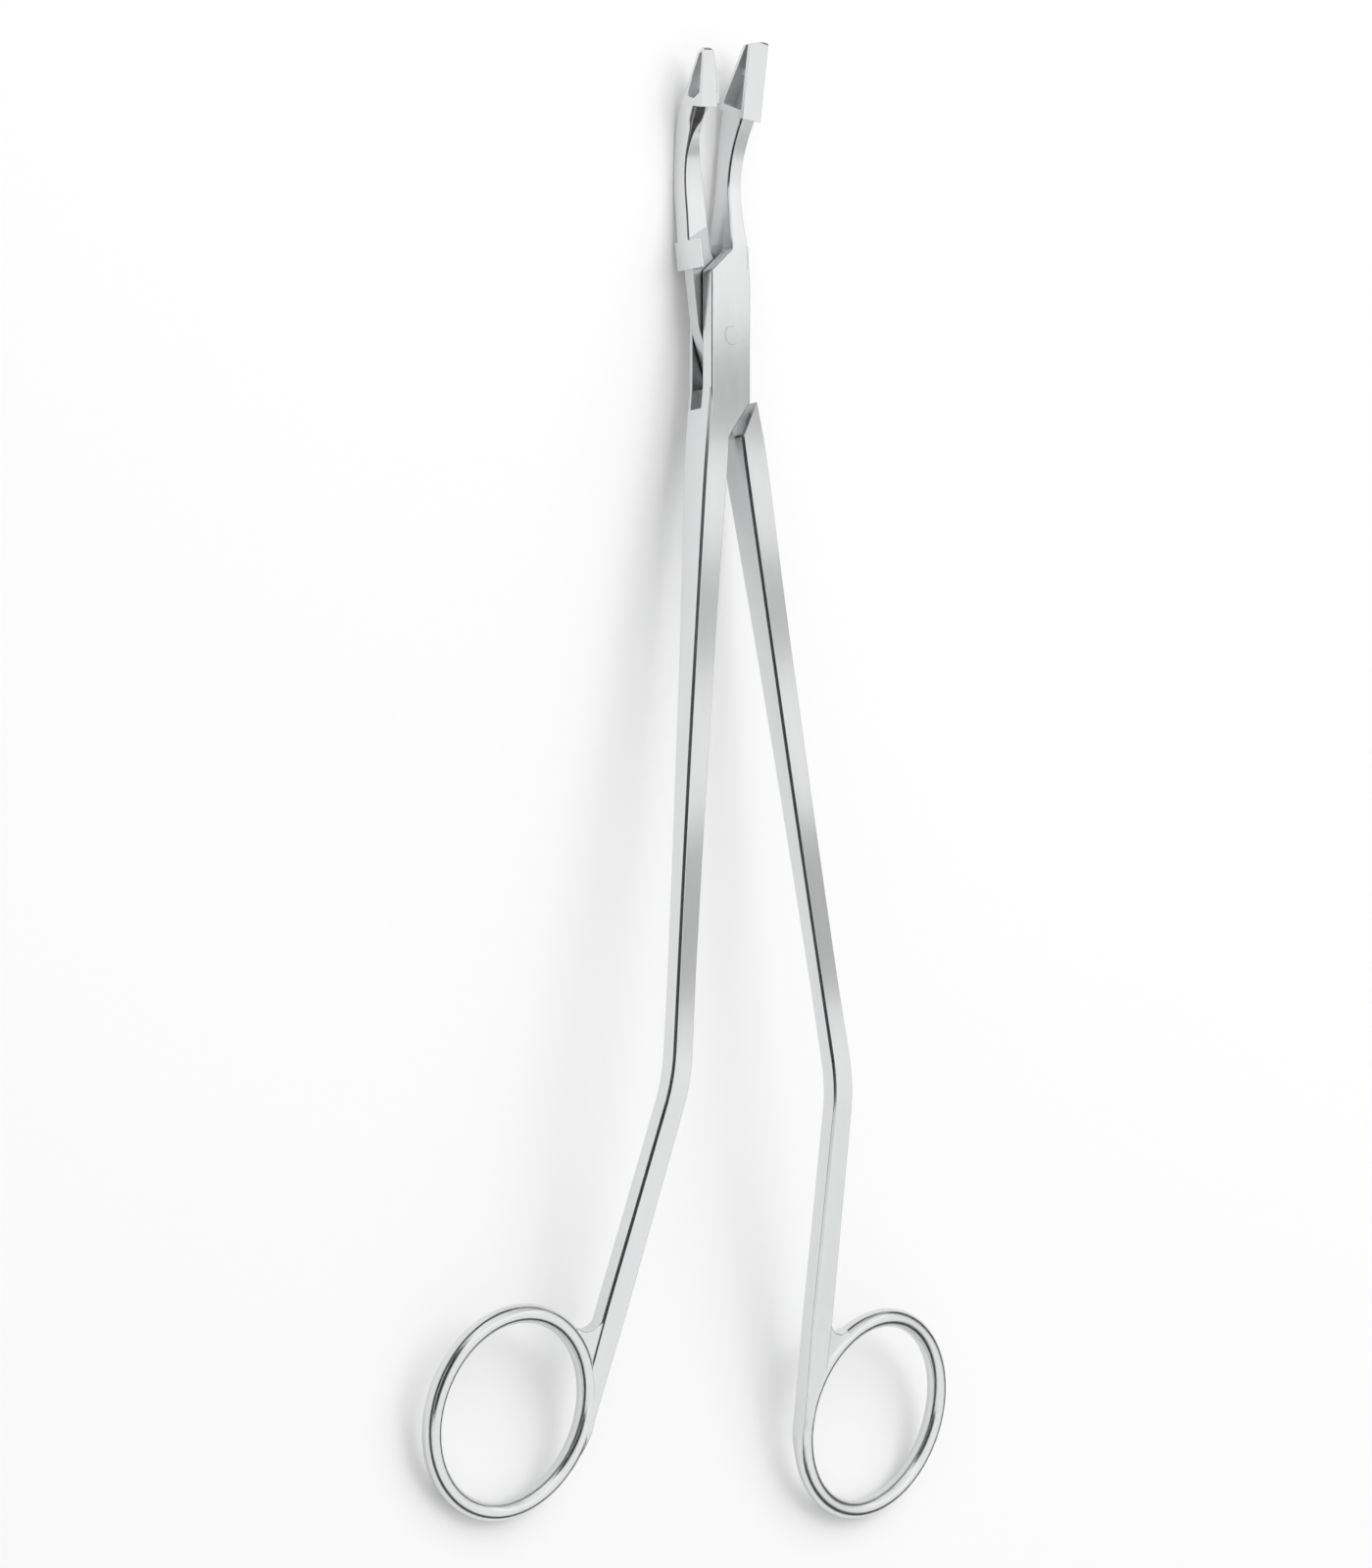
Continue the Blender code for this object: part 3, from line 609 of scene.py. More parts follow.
@dataclass
class Finishes:
    """The steel finishes of the instrument, made once; the matt one's pale tone is painted light.
    """

    basket_satin: SteelFinish = SteelFinish("satin_basket_arm", SATIN, 0.20, Lay.LENGTHWISE, -2.0)
    punch_satin: SteelFinish = SteelFinish("satin_punch_arm", SATIN, 0.20, Lay.LENGTHWISE, -11.0)
    ground: SteelFinish = SteelFinish("ground_jaw", BRIGHT, 0.24, Lay.CROSSWISE, mark_scale=90.0,
                                      mark_depth=0.06, worn=0.0, edge_reach=0.00004)
    machined: SteelFinish = SteelFinish("machined_inside", DARK, 0.34, Lay.CROSSWISE,
                                        mark_scale=70.0, mark_depth=0.2, worn=0.6,
                                        edge_reach=0.00008)
    # matt roughness is real; the pale colour is painted light that lifts the shade inside the
    # basket's hollow and the punch's opening
    matt_painted_light: SteelFinish = SteelFinish("matt_hollow_painted_light", PAINTED_LIGHT_PALE, 0.5, Lay.CROSSWISE, mark_scale=90.0,
                                    mark_depth=0.06, worn=0.0, edge_reach=0.00004)
    peened: SteelFinish = SteelFinish("peened_pin", BRIGHT, 0.20, Lay.LENGTHWISE, -2.0,
                                      edge_reach=0.00004)
    made: dict[str, Material] = field(default_factory=dict)

    def build(self) -> None:
        """Make the shared effects and each finish."""
        brush_marks_group()
        worn_edges_group()
        handling_group()
        for finish in (self.basket_satin, self.punch_satin, self.ground, self.machined,
                       self.matt_painted_light, self.peened):
            self.made[finish.name] = finish.material()

    def give(self, item: Item, finish: SteelFinish) -> Item:
        """Put one finish on the whole of a blank."""
        item.data.materials.clear()
        item.data.materials.append(self.made[finish.name])
        return item


# The instrument


@dataclass
class Handle:
    """A shank with its bend, finger ring and the web between them.

    Rows of sections and handle_sections: distance below the joint or the bend, width, thickness.
    Rows of run_out: degrees round the ring, width, thickness, share of an oval, how far it stands
    out of the ring's band.
    """

    side: Side
    lean_deg: float = 3.8
    offset: float = 1.73
    length: float = 122.5
    bend_deg: float = 18.6
    bend_radius: float = 26.0
    reach: float = 57.5
    edge: float = 0.42
    end_width: float = 4.4
    end_thick: float = 3.0
    ring_radius: float = 16.2
    ring_side: float = 15.5
    band_width: float = 3.06
    band_thick: float = 3.26
    oval_edge: float = 0.2
    sunk: float = 0.05
    bend_steps: int = 14
    web_steps: int = 18
    web_radius: float = 3.2
    web_edge: float = 2.2
    web_root: float = 1.4
    web_touch: float = 1.6
    web_sunk: float = 1.3
    web_under: float = 0.25
    web_share: float = 0.62
    web_ease: float = 0.35
    sections: Rows = (
        (8.0, 4.3, 5.4), (17.0, 5.2, 5.4), (24.0, 5.35, 5.15), (31.0, 5.2, 4.8),
        (49.0, 4.85, 4.1), (69.0, 4.65, 3.5), (88.0, 4.45, 3.15), (106.0, 4.3, 2.95))
    handle_sections: Rows = (
        (12.0, 4.5, 3.0), (24.0, 4.6, 3.0), (38.0, 4.8, 3.0), (46.0, 4.5, 3.06),
        (52.0, 4.32, 3.16), (56.0, 4.16, 3.22))
    run_out: Rows = (
        (0.0, 4.1, 3.24, 0.0, 0.01), (8.0, 3.75, 3.29, 0.3, 0.015),
        (16.0, 3.3, 3.30, 0.8, 0.015), (24.0, 3.10, 3.28, 1.0, 0.01),
        (31.0, 2.96, 3.20, 1.0, -0.05), (36.0, 2.8, 3.0, 1.0, -0.13))

    def __post_init__(self) -> None:
        """Work out the directions of the shank and of the handle below its bend."""
        lean, bend, sign = math.radians(self.lean_deg), math.radians(self.bend_deg), self.side.value
        self.down = Vector((sign * math.sin(lean), -math.cos(lean), 0.0))
        self.out = Vector((sign * math.cos(lean), math.sin(lean), 0.0))
        self.front = Vector((0.0, 0.0, 1.0))
        self.handle_down = self.down * math.cos(bend) - self.front * math.sin(bend)
        self.handle_front = self.front * math.cos(bend) + self.down * math.sin(bend)
        self.corner = self.down * self.length + self.out * self.offset
        self.hub = self.corner + self.handle_down * self.reach + self.out * self.ring_side

    def _shank(self) -> Item:
        """Draw the bar out from the lock, round the bend and into the ring's inner side."""
        rings = []
        for distance, width, thick in between(self.sections, 4):
            place = self.out * self.offset + self.down * distance
            rings.append(placed(place, self.out, self.front, bar_section(width, thick, self.edge)))
        bend = math.radians(self.bend_deg)
        tangent = self.bend_radius * math.tan(0.5 * bend)
        centre = self.corner - self.down * tangent - self.front * self.bend_radius
        for k in range(self.bend_steps + 1):
            angle = bend * k / self.bend_steps
            radial = self.front * math.cos(angle) + self.down * math.sin(angle)
            section = bar_section(self.end_width, self.end_thick, self.edge)
            rings.append(placed(centre + radial * self.bend_radius, self.out, radial, section))
        for distance, width, thick in between(self.handle_sections, 3):
            place = self.corner + self.handle_down * distance
            section = bar_section(width, thick, self.edge)
            bar = placed(place, self.out, self.handle_front, section)
            rings.append([self._clear_of_hole(point) for point in bar])
        for degrees, width, thick, share, proud in between(self.run_out, 4):
            angle = math.radians(degrees)
            radial = self.handle_down * math.sin(angle) - self.out * math.cos(angle)
            reach = self.ring_radius + 0.5 * (self.band_width - width) + proud
            section = bar_section(width, thick, self.edge + self.oval_edge * share)
            bar = placed(self.hub + radial * reach, -radial, self.handle_front,
                         toward_oval(section, width, thick, share))
            rings.append([self._clear_of_hole(point) for point in bar])
        return drawn("shank", rings)

    def _clear_of_hole(self, point: Vector) -> Vector:
        """Draw a corner of the bar that lies in the ring's hole back into the ring's band."""
        height = (point - self.hub).dot(self.handle_front)
        share = min(2.0 * abs(height) / self.band_thick, 1.0)
        half = 0.5 * self.band_width * math.sqrt(1.0 - share * share)
        least = self.ring_radius + self.sunk - half
        level = self.hub + self.handle_front * height
        reach = point - level
        return point if reach.length >= least else level + reach * (least / reach.length)

    def _ring(self) -> Item:
        """Forge the finger ring's oval band."""
        deselect_all()
        bpy.ops.mesh.primitive_torus_add(
            major_segments=160, minor_segments=28, major_radius=self.ring_radius * MM,
            minor_radius=0.5 * self.band_width * MM)
        band = newest("ring")
        bpy.ops.object.mode_set(mode="EDIT")
        bpy.ops.mesh.select_all(action="SELECT")
        bpy.ops.transform.resize(value=(1.0, 1.0, self.band_thick / self.band_width))
        bpy.ops.object.mode_set(mode="OBJECT")
        front = self.out.cross(self.handle_down)
        return lay_down(band, axes(self.out, self.handle_down, front, self.hub * MM))

    def _web(self) -> Item:
        """Fill the crotch between shank and ring, hollow along its upper edge."""
        radius, edge = self.web_radius, self.web_edge
        outer = self.ring_radius + self.web_touch
        rise = math.sqrt((outer + radius) ** 2 - (self.ring_side - edge - radius) ** 2)
        cx, cy = edge + radius, self.reach - rise
        on_ring = Vector((self.ring_side - cx, rise)).normalized() * radius
        finish = math.atan2(on_ring.y, on_ring.x)
        outline = [(edge - self.web_root, cy - 0.4)]
        for k in range(self.web_steps + 1):
            angle = math.pi + (finish - math.pi) * k / self.web_steps
            outline.append((cx + radius * math.cos(angle), cy + radius * math.sin(angle)))
        tip = Vector((cx, cy)) + on_ring
        inner = tip + (Vector((self.ring_side, self.reach)) - tip).normalized() * self.web_sunk
        outline += [(inner.x, inner.y), (edge - self.web_root, cy + rise * self.web_share)]
        level = 0.5 * self.end_thick - self.web_under
        rings = [[self.corner + self.out * x + self.handle_down * y + self.handle_front * z
                  for x, y in outline] for z in (-level, level)]
        return ease_edges(drawn("web", rings), self.web_ease, 3, 50.0)

    def build(self, finishes: Finishes, finish: SteelFinish) -> Item:
        """Weld shank, ring and web into one forging.

        Args:
            finishes: the made finishes.
            finish: the one this handle has.

        Returns:
            The handle in the lock's frame, in metres.
        """
        return weld(*(finishes.give(item, finish)
                      for item in (self._shank(), self._ring(), self._web())))


@dataclass
class Lock:
    """The box lock's shared sizes: the box, the slot through it and the tongue in the slot."""

    width: float = 9.0
    thick: float = 5.4
    side_top: float = 10.3
    slant_top: float = 14.2
    side_bottom: float = 10.3
    slant_bottom: float = 16.0
    front_plate: float = 2.1
    slot: float = 2.4
    gap: float = 0.3
    slot_end: float = 12.4
    pin_radius: float = 1.5
    pin_clear: float = 0.06
    pin_seat: float = 0.015
    pin_proud: float = 0.02

    @property
    def slot_levels(self) -> Pair:
        """Heights of the slot's back and front walls."""
        high = 0.5 * self.thick - self.front_plate
        return high - self.slot, high

    @property
    def tongue_levels(self) -> Pair:
        """Heights of the tongue's back and front faces."""
        low, high = self.slot_levels
        return low + self.gap, high - self.gap

    def drill(self, radius: float) -> Item:
        """Return a drill through the whole lock for the pin's hole."""
        deselect_all()
        bpy.ops.mesh.primitive_cylinder_add(vertices=96, radius=radius * MM,
                                            depth=(self.thick + 2.0) * MM)
        return newest("drill")


@dataclass
class BasketHead:
    """The fixed jaw: a hollow basket with a window, a cross web and a long outer tip.

    The side is its outline seen from the side, as (along, up) corners.
    """

    gap: float = 0.3
    width: float = 4.2
    tip_rise: float = 1.1
    wall: float = 0.5
    tip_wall: float = 0.2
    base_wall: float = 1.15
    depth: float = 2.6
    web_drop: float = 1.25
    web_near: float = 44.25
    web_far: float = 45.25
    web_lean_deg: float = 22.0
    window_step: float = 0.35
    side: tuple[Pair, ...] = ((38.1, -0.55), (46.6, 4.38), (48.9, 5.75), (48.8, 6.35),
                              (48.3, 6.70), (41.0, 5.60), (35.6, 4.90))

    @property
    def walls(self) -> list[float]:
        """Thickness of the wall on each side of the outline, thicker at the tip."""
        wall, tip = self.wall, self.wall + self.tip_wall
        return [wall, wall, tip, tip, wall, wall, self.base_wall]

    def _blank(self, finishes: Finishes) -> Item:
        """Shape the head's outside."""
        left, right = self.gap, self.gap + self.width
        outline = rounded(list(self.side), [0, 0, 0.5, 0.4, 0.6, 0, 0], 7)
        head = finishes.give(side_slab("basket", outline, left, right), finishes.basket_satin)
        top = max(along for along, _ in self.side)
        trim = slab("trim", [(left - 2.0, top - self.tip_rise - 0.5), (right + 0.5, top + 0.1),
                             (right + 0.5, top + 4.0), (left - 2.0, top + 4.0)], -3.0, 12.0)
        cut(head, finishes.give(trim, finishes.ground))
        edge = (right - 0.05) * MM
        ease_chosen(head, lambda a, b: min(a.x, b.x) * MM > edge, 0.28, 3)
        return head

    def build(self, finishes: Finishes) -> Item:
        """Hollow the head out, leaving the cross web, and cut its window.

        Args:
            finishes: the made finishes.

        Returns:
            The head in the lock's frame.
        """
        left, right = self.gap, self.gap + self.width
        sides = list(self.side)
        head = self._blank(finishes)
        room = rounded(inset(sides, self.walls), [0.3, 0, 0.3, 0.3, 0.3, 0, 0.3], 5)
        hollow = side_slab("hollow", room, left - 1.0, left + self.depth)
        tilt = math.tan(math.radians(self.web_lean_deg))
        near, far = self.web_near, self.web_far
        web = side_slab("web", [(near, 1.5), (far, 1.5), (far - 6.0 * tilt, 7.5),
                                (near - 6.0 * tilt, 7.5)],
                        left + self.web_drop, left + self.depth + 0.4)
        cut(hollow, web)
        window = side_slab("window", inset(sides, [wall + self.window_step for wall in self.walls]),
                           left + self.depth - 0.5, right + 1.0)
        stop = near - 0.25
        keep = side_slab("keep", [(30.0, -6.0), (stop + 4.0 * tilt, -2.5),
                                  (stop - 6.0 * tilt, 7.5), (30.0, 12.0)], left, right + 2.0)
        combine(window, keep, "INTERSECT")
        # the cut faces of hollow and window take the pale tone: painted light over the shade inside
        # the basket
        for tool in (hollow, window):
            finishes.give(tool, finishes.matt_painted_light)
        return cut(head, hollow, window)


@dataclass
class BasketArm:
    """The arm that carries the slotted box and ends in the basket.

    Rows of neck_rows: along, middle across, middle up, width, thickness and tilt in degrees.
    """

    lock: Lock
    handle: Handle = field(default_factory=lambda: Handle(Side.LEFT))
    head: BasketHead = field(default_factory=BasketHead)
    neck_rows: Rows = (
        (9.0, 2.0, 0.0, 3.9, 5.4, 0.0), (15.4, 1.95, 0.0, 3.8, 5.4, 0.0),
        (18.5, 1.83, 0.0, 3.4, 4.7, 0.0), (21.5, 1.8, 0.05, 3.1, 4.0, 0.0),
        (25.0, 1.9, 0.05, 3.0, 3.2, 3.0), (28.5, 1.95, 0.35, 3.0, 3.3, 8.0),
        (31.5, 2.0, 0.85, 3.05, 3.7, 13.0), (34.3, 2.05, 1.55, 3.1, 4.3, 18.0),
        (37.0, 2.1, 2.35, 3.2, 5.0, 23.0), (37.8, 2.1, 2.7, 3.1, 4.9, 24.0))

    def _box(self) -> Item:
        """Cut the box's plate and round its edges."""
        k = self.lock
        half = 0.5 * k.width
        outline = [(-half, -k.side_bottom - 8.0), (-half, k.side_top), (-0.1, k.slant_top),
                   (1.3, k.slant_top + 1.2), (half - 0.5, k.slant_top + 1.2), (half, 9.0),
                   (half, -k.side_bottom), (0.1, -k.slant_bottom),
                   (-1.2, -k.slant_bottom - 2.3)]
        return ease_edges(slab("box", outline, -0.5 * k.thick, 0.5 * k.thick), 0.35, 4, 40.0)

    def _slot(self) -> Item:
        """Shape the room that the tongue sweeps through."""
        k = self.lock
        low, high = k.slot_levels
        half, end = 0.5 * k.width, k.slot_end
        corners = [(-half - 2.0, end + 6.0), (-half - 2.0, -end), (-half + 1.4, -end),
                   (-0.5 * half - 0.5, -7.6), (-0.05, -k.slant_bottom - 4.5),
                   (half + 2.0, -k.slant_bottom - 4.5), (half + 2.0, end), (half - 1.4, end),
                   (0.5 * half + 0.55, 7.6), (0.1, k.slant_top), (-0.05, end + 6.0)]
        radii = [0, 0, 0.8, 2.0, 0, 0, 0, 0.8, 2.0, 0, 0]
        return slab("slot", rounded(corners, radii, 6), low, high)

    def _neck(self) -> Item:
        """Draw the slim neck up from the box to the head."""
        rings = []
        for along, x, up, width, thick, tilt in between(self.neck_rows, 4):
            section = bar_section(width, thick, 0.3, 0.12)
            rings.append(tilted(Vector((x, along, up)), tilt, section))
        return drawn("neck", rings)

    def build(self, finishes: Finishes) -> Item:
        """Forge and machine the whole arm.

        Args:
            finishes: the made finishes.

        Returns:
            The arm in the lock's frame.
        """
        arm = self.handle.build(finishes, finishes.basket_satin)
        weld(arm, *(finishes.give(item, finishes.basket_satin)
                    for item in (self._box(), self._neck())))
        cut(arm, finishes.give(self._slot(), finishes.machined))
        weld(arm, self.head.build(finishes))
        drill = self.lock.drill(self.lock.pin_radius + self.lock.pin_seat)
        cut(arm, finishes.give(drill, finishes.machined))
        arm.name = "basket_arm_steel"
        return arm


@dataclass
class PunchHead:
    """The moving jaw: a hooded punch with a tapering opening and a plug that enters the basket.

    The side and the two drops, the opening's ends, are outlines of (along, up) corners.
    """

    basket: BasketHead
    top_width: float = 2.7
    base_width: float = 4.0
    clear: float = 0.3
    reach: float = 1.05
    plug_end: float = 46.9
    side: tuple[Pair, ...] = ((38.2, 0.35), (39.8, 1.50), (42.2, 2.55), (46.1, 4.40),
                              (46.85, 5.20), (46.2, 5.68), (37.0, 4.85))
    outer_drop: tuple[Pair, ...] = ((39.2, 2.05), (42.3, 3.05), (45.8, 4.75), (46.05, 5.2),
                                    (45.1, 5.22), (41.4, 4.85), (39.4, 4.6), (38.6, 3.35))
    inner_drop: tuple[Pair, ...] = ((40.35, 2.15), (42.6, 3.25), (45.5, 4.85), (45.75, 5.12),
                                    (45.1, 5.13), (41.6, 4.6), (40.1, 4.35), (39.5, 3.3))

    def _plug_outline(self) -> Outline:
        """Return the basket's outline, stopped before its tip and drawn in by wall and gap."""
        back, knee, low_tip = self.basket.side[:3]
        high_tip, crest, heel = self.basket.side[4:]
        stops = []
        for near, far in ((knee, low_tip), (crest, high_tip)):
            t = (self.plug_end - near[0]) / (far[0] - near[0])
            stops.append((self.plug_end, near[1] + (far[1] - near[1]) * t))
        margin = self.basket.wall + self.clear
        walls = [margin, margin, 0.0, margin, margin, self.basket.base_wall + self.clear]
        return inset([back, knee, stops[0], stops[1], crest, heel], walls)

    def build(self, finishes: Finishes) -> Item:
        """Shape the head, weld the plug on and dress the cutting rim.

        Args:
            finishes: the made finishes.

        Returns:
            The head in the lock's frame, closed position, before its opening is cut.
        """
        wide, top = self.base_width, -self.top_width
        outline = rounded(list(self.side), [0, 0, 0, 0.5, 0.5, 0.6, 0], 7)
        head = finishes.give(side_slab("punch", outline, -wide, 0.0), finishes.punch_satin)
        outer = [(-wide - 3.0, 34.0), (-wide - 3.0, 52.0), (top + 1.1, 52.0), (top + 1.1, 47.0),
                 (top + 0.6, 46.8), (top + 0.15, 46.35), (top - 0.13, 45.6),
                 (-wide - 0.05, 36.6), (-wide - 0.4, 34.0)]
        radii = [0, 0, 0, 0.4, 0.6, 0.6, 1.2, 0, 0]
        slope = slab("slope", rounded(outer, radii, 4), -4.0, 12.0)
        cut(head, finishes.give(slope, finishes.punch_satin))
        ease_chosen(head, lambda a, b: max(a.x, b.x) < top + 0.3 and min(a.y, b.y) > 39.5, 0.2, 3)
        plug = side_slab("plug", rounded(self._plug_outline(), [0.3, 0, 0, 0, 0, 0.3], 5),
                         -0.6, self.reach)
        fall = slab("fall", [(self.reach + 2.0, 38.0), (self.reach + 0.3, 41.0), (0.2, 46.6),
                             (0.2, 52.0), (self.reach + 2.0, 52.0)], -6.0, 14.0)
        over = [(0.12, 42.6), (-0.35, 45.6), (-0.55, 46.25), (-0.95, 46.7), (-1.6, 47.1),
                (-1.6, 52.0), (2.0, 52.0), (2.0, 44.0)]
        crown = slab("crown", rounded(over, [0, 1.0, 0.5, 0.5, 0, 0, 0, 0], 4), -6.0, 14.0)
        for item in (plug, fall, crown):
            finishes.give(item, finishes.ground)
        return cut(weld(head, cut(plug, fall)), crown)

    def opening(self, finishes: Finishes) -> Item:
        """Return the tapering tool that cuts the opening, wide outside and narrower in the plug."""
        outer = rounded(list(self.outer_drop), 0.6, 4)
        inner = rounded(list(self.inner_drop), 0.5, 4)
        stations = ((-self.base_width - 0.6, outer), (-self.top_width + 0.4, outer),
                    (-1.2, inner), (self.reach + 1.0, inner))
        tool = drawn("opening", [[Vector((x, along, up)) for along, up in outline]
                                 for x, outline in stations])
        # the opening's cut faces take the pale tone: painted light over the shade inside the punch
        return finishes.give(tool, finishes.matt_painted_light)


@dataclass
class PunchArm:
    """The arm whose tongue runs through the box and ends in the punch."""

    lock: Lock
    head: PunchHead
    handle: Handle = field(default_factory=lambda: Handle(Side.RIGHT))
    neck_step: float = 0.21
    lug_outer: float = -5.35
    lug_inner: float = -3.2

    def _tongue(self) -> Item:
        """Cut the flat tongue that fills the slot."""
        k = self.lock
        half, bottom = 0.5 * k.width, k.slant_bottom
        outline = [(-half - 0.5, k.side_top + 6.0), (-half - 0.5, 2.0), (-0.5 * half - 0.6, -6.5),
                   (0.55, -bottom + 1.0), (0.9, -bottom - 4.0), (half + 0.1, -bottom - 4.0),
                   (half, -k.side_bottom), (half, -2.0), (0.5 * half + 0.6, 6.5),
                   (-0.35, k.slant_top), (-0.35, k.side_top + 8.0)]
        return slab("tongue", outline, *k.tongue_levels)

    def _clearance(self) -> Item:
        """Shape what is cleared away where the box sits round the tongue."""
        k = self.lock
        outline = [(-12.0, -k.side_bottom - 0.3), (-12.0, k.side_top + 0.9),
                   (12.0, k.side_top + 12.0), (12.0, -k.side_bottom - 0.55),
                   (0.5 * k.width, -k.side_bottom - 0.55),
                   (0.35, -k.slant_bottom - 0.5), (-12.0, -k.slant_bottom - 0.5)]
        return slab("clearance", outline, -12.0, 12.0)

    def _neck(self) -> Item:
        """Draw the deep neck from the tongue to the head and clear the box's upper end.

        Its rows: along, left and right edge, back and front face, tilt and the corner's relief.
        """
        k = self.lock
        face, back = k.tongue_levels[1], -0.5 * k.thick + self.neck_step
        rows = ((12.0, -5.3, -0.40, back, face, 0.0, 0.25),
                (16.0, -5.2, -0.35, back, face, 0.0, 0.25),
                (20.0, -4.9, -0.30, back, face, 0.0, 0.25),
                (24.0, -4.7, -0.35, back, face, 2.0, 0.25),
                (27.0, -4.5, -0.55, back + 0.15, face + 0.15, 6.0, 0.25),
                (30.0, -4.25, -0.95, back + 0.5, face + 0.65, 11.0, 0.3),
                (33.0, -4.05, -1.75, -1.55, face + 1.75, 17.0, 0.5),
                (34.6, -4.0, -1.95, -1.0, 2.95, 20.0, 0.85),
                (36.0, -3.95, -2.1, -0.55, 3.75, 22.0, 1.5),
                (38.3, -3.85, -1.6, 0.65, 4.8, 24.0, 1.5),
                (40.5, -3.6, -1.65, 2.0, 4.95, 24.0, 0.9))
        rings = []
        for along, left, right, low, high, tilt, relief in between(rows, 4):
            middle = Vector((0.5 * (left + right), along, 0.5 * (low + high)))
            section = relieved_section(right - left, high - low, relief)
            rings.append(tilted(middle, tilt, section))
        neck = drawn("neck", rings)
        half = 0.5 * k.width
        outline = [(-half - 3.0, 2.0), (-half - 3.0, k.side_top + 0.6), (-half, k.side_top + 0.6),
                   (-0.1, k.slant_top + 0.55), (1.3, k.slant_top + 1.8),
                   (half + 3.0, k.slant_top + 1.8), (half + 3.0, 2.0)]
        low, high = k.tongue_levels
        return cut(neck, slab("room_behind", outline, -k.thick, low),
                   slab("room_before", outline, high, k.thick))

    def _lug(self) -> Item:
        """Shape the stop at the outer edge above the lock, sloping down inwards."""
        depth, face = 0.5 * self.lock.thick, self.lock.tongue_levels[1]
        outer, inner = self.lug_outer, self.lug_inner
        section = [(outer, -depth), (outer, depth), (outer + 0.5, depth), (inner, face - 0.3),
                   (inner, -1.2), (outer + 0.5, -depth)]
        top = self.lock.side_top
        return drawn("lug", [[Vector((x, y, z)) for x, z in section]
                             for y in (top + 0.9, top + 5.6)])

    def build(self, finishes: Finishes) -> Item:
        """Forge and machine the whole arm.

        Args:
            finishes: the made finishes.

        Returns:
            The arm in the lock's frame, closed position.
        """
        satin = finishes.punch_satin
        arm = self.handle.build(finishes, satin)
        cut(arm, finishes.give(self._clearance(), satin))
        weld(arm, finishes.give(self._tongue(), finishes.machined))
        weld(arm, *(finishes.give(item, satin) for item in (self._neck(), self._lug())))
        weld(arm, self.head.build(finishes))
        cut(arm, self.head.opening(finishes))
        drill = self.lock.drill(self.lock.pin_radius + self.lock.pin_clear)
        cut(arm, finishes.give(drill, finishes.machined))
        arm.name = "punch_arm_steel"
        return arm


@dataclass
class PivotPin:
    """The pin through the lock, peened and ground all but flush."""

    lock: Lock
    ease: float = 0.012

    def build(self, finishes: Finishes) -> Item:
        """Turn the pin and ease its two ends."""
        k = self.lock
        deselect_all()
        bpy.ops.mesh.primitive_cylinder_add(vertices=96, radius=k.pin_radius * MM,
                                            depth=(k.thick + 2.0 * k.pin_proud) * MM)
        pin = ease_edges(newest("pivot_pin_steel"), self.ease, 3, 40.0)
        return finishes.give(pin, finishes.peened)


# The studio


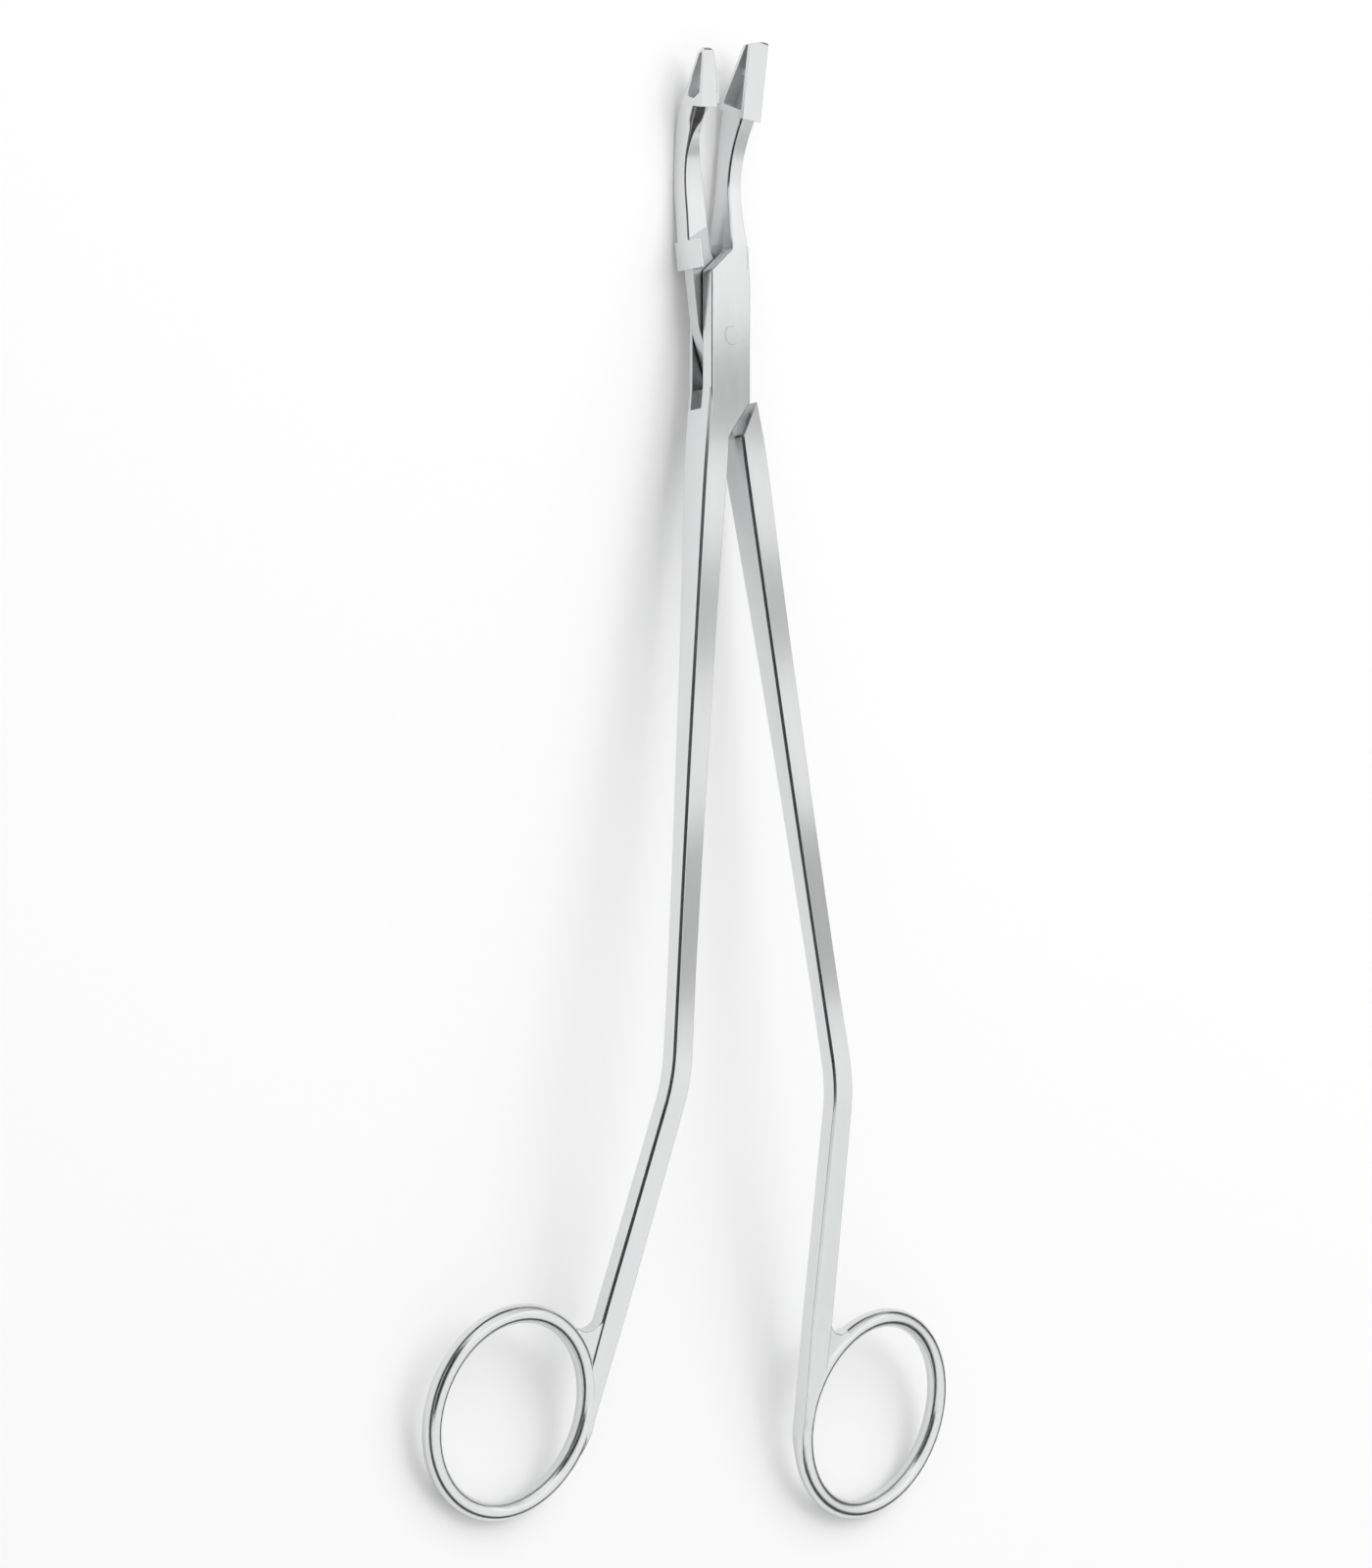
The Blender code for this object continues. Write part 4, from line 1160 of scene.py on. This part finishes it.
@dataclass
class Studio:
    """Plain floor, soft lamps, reflector cards and the camera, in metres.

    Each band is a light card over the arms: its middle along, its width and its level.
    """

    rest: RestPose
    floor_size: float = 8.0
    floor_colour: tuple[float, float, float] = (0.93, 0.93, 0.93)
    floor_lift: float = 0.06
    room_level: float = 0.70
    window: Vector = Vector((0.30, 0.90, 1.10))
    middle: Vector = Vector((0.0, 0.0, 0.01))
    key_size: float = 1.4
    key_power: float = 10.0
    sheen_size: float = 1.8
    sheen_power: float = 3.2
    band_distance: float = 0.08
    band_back: Vector = Vector((0.7, 0.0, 0.66))
    band_height: float = 0.16
    bands: Rows = ((0.066, 0.018, 0.55), (0.028, 0.018, 0.60), (-0.021, 0.030, 0.55))
    arris_place: Vector = Vector((-0.40, -0.02, 0.40))
    arris_aim: Vector = Vector((0.0, -0.02, 0.01))
    arris_size: Pair = (0.66, 0.34)
    arris_level: float = 0.02
    edge_count: int = 12
    edge_distance: float = 0.9
    edge_lift: Vector = Vector((0.0, 0.0, 0.20))
    edge_size: Pair = (0.5, 0.38)
    edge_level: float = 0.03
    view_back: Vector = Vector((-0.711115, -0.131401, 0.690685))
    view_up: Vector = Vector((-0.147616, 0.988388, 0.036055))
    aim: Vector = Vector((-0.0061086, 0.0004822, -0.0013477))
    distance: float = 1.75
    lens: float = 248.06

    def camera(self) -> None:
        """Set the camera at the drawing's viewing angle."""
        eye = self.rest.joint + self.view_back * self.distance
        back = (eye - self.aim).normalized()
        right = self.view_up.cross(back).normalized()
        deselect_all()
        bpy.ops.object.camera_add()
        camera = newest("view")
        camera.matrix_world = axes(right, back.cross(right), back, eye)
        camera.data.sensor_fit = "VERTICAL"
        camera.data.sensor_height = 36.0
        camera.data.lens = self.lens
        camera.data.clip_start = 0.05
        camera.data.clip_end = 50.0
        bpy.context.scene.camera = camera

    def floor(self) -> None:
        """Lay a pale floor that the camera sees white, with the instrument's shadow kept."""
        deselect_all()
        bpy.ops.mesh.primitive_plane_add(size=self.floor_size)
        ground = newest("floor")
        paper, tree, shader = new_material("white_paper")
        lift = math_node(tree, "MULTIPLY", self._background_ray(tree), self.floor_lift)
        fill(tree, shader, {"Base Color": (*self.floor_colour, 1.0), "Roughness": 0.9,
                            "Specular IOR Level": 0.1, "Emission Strength": lift,
                            "Emission Color": WHITE})
        ground.data.materials.append(paper)

    def _background_ray(self, tree: Tree) -> Socket:
        """Return 1 for rays of the camera, of gloss and of glass, which all see the background."""
        path = add_node(tree, "LightPath").outputs
        seen = math_node(tree, "MAXIMUM", path["Is Camera Ray"], path["Is Glossy Ray"])
        return math_node(tree, "MAXIMUM", seen, path["Is Transmission Ray"])

    def world(self) -> None:
        """Give the room an even light; the camera and polished steel see it white."""
        sky = bpy.data.worlds.new("room")
        bpy.context.scene.world = sky
        sky.use_nodes = True
        tree = sky.node_tree
        tree.nodes.clear()
        level = math_node(tree, "MULTIPLY_ADD", self._background_ray(tree),
                          1.0 - self.room_level, self.room_level)
        room = add_node(tree, "Background", {"Color": WHITE, "Strength": level})
        add_node(tree, "OutputWorld", {"Surface": room.outputs[0]})

    def lamp(self, name: str, size: float, power: float, mirrored: bool) -> None:
        """Hang one square soft box at the window, pointed at the instrument.

        Args:
            name: the lamp's name.
            size: its width and height.
            power: its power in watts.
            mirrored: whether the polished steel mirrors it.
        """
        deselect_all()
        bpy.ops.object.light_add(type="AREA", location=self.window)
        light = newest(name)
        light.rotation_mode = "QUATERNION"
        light.rotation_quaternion = (self.middle - self.window).to_track_quat("-Z", "Y")
        light.data.shape = "RECTANGLE"
        light.data.size = light.data.size_y = size
        light.data.energy = power
        light.visible_glossy = mirrored

    def card(self, name: str, place: Vector, aim: Vector, size: Pair, level: float) -> None:
        """Stand a card that only the polished steel sees, to model its faces with soft bands.

        Args:
            name: the card's name.
            place: the card's middle.
            aim: the point that the card faces.
            size: its level extent and its extent up its slope.
            level: how light the card is, 0 for black.
        """
        deselect_all()
        bpy.ops.mesh.primitive_plane_add(size=1.0)
        sheet = newest(name)
        front = (aim - place).normalized()
        level_way = Vector((0.0, 0.0, 1.0)).cross(front).normalized()
        slope = front.cross(level_way)
        sheet.matrix_world = axes(level_way * size[0], slope * size[1], front, place)
        board, tree, shader = new_material(name)
        fill(tree, shader, {"Base Color": BLACK, "Specular IOR Level": 0.0,
                            "Emission Color": WHITE, "Emission Strength": level})
        sheet.data.materials.append(board)
        sheet.visible_camera = sheet.visible_diffuse = sheet.visible_shadow = False
        sheet.visible_transmission = sheet.visible_volume_scatter = False

    def build(self) -> None:
        """Set the whole studio up."""
        bpy.context.scene.view_settings.view_transform = "Standard"
        self.camera()
        self.floor()
        self.world()
        self.lamp("key", self.key_size, self.key_power, False)
        self.lamp("sheen", self.sheen_size, self.sheen_power, True)
        for number, (target, width, level) in enumerate(self.bands):
            # the way in which the arms' upper faces there mirror the camera
            mirrored = Vector((0.700, 0.232 + 0.571 * target, 0.658)).normalized()
            place = Vector((0.0, target, 0.01)) + mirrored * self.band_distance
            self.card(f"band_card_{number}", place, place - self.band_back,
                      (width, self.band_height), level)
        self.card("arris_card", self.arris_place, self.arris_aim, self.arris_size,
                  self.arris_level)
        for number in range(self.edge_count):
            angle = math.radians(360.0 / self.edge_count * number)
            around = Vector((math.cos(angle), math.sin(angle), 0.0)) * self.edge_distance
            self.card(f"edge_card_{number}", around + self.edge_lift, self.middle,
                      self.edge_size, self.edge_level)


def hand_over(item: Item, body: str, node: str, place: Matrix) -> None:
    """Lay a finished piece down and let it stand for its plain solid.

    Args:
        item: the finished piece in the lock's frame.
        body: the body it moves with.
        node: the plain solid it stands for.
        place: the move from the lock's frame to the floor's.
    """
    lay_down(item, place)
    smooth(item)
    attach(item, body)
    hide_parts(node)
    LOG.info("%s: %d faces", item.name, len(item.data.polygons))


def main() -> None:
    """Build the instrument and the studio in order."""
    logging.basicConfig(level=logging.INFO, format="%(name)s: %(message)s")
    rest = RestPose()
    finishes = Finishes()
    finishes.build()
    lock = Lock()
    studio = Studio(rest)
    basket_arm = BasketArm(lock)
    hand_over(basket_arm.build(finishes), "basket_arm", "basket_arm",
              rest.matrix(False))
    punch_arm = PunchArm(lock, PunchHead(basket_arm.head))
    hand_over(punch_arm.build(finishes), "punch_arm", "punch_arm",
              rest.matrix(True))
    hand_over(PivotPin(lock).build(finishes), "basket_arm", "pivot_pin",
              rest.matrix(False))
    studio.build()


if __name__ == "__main__":
    main()
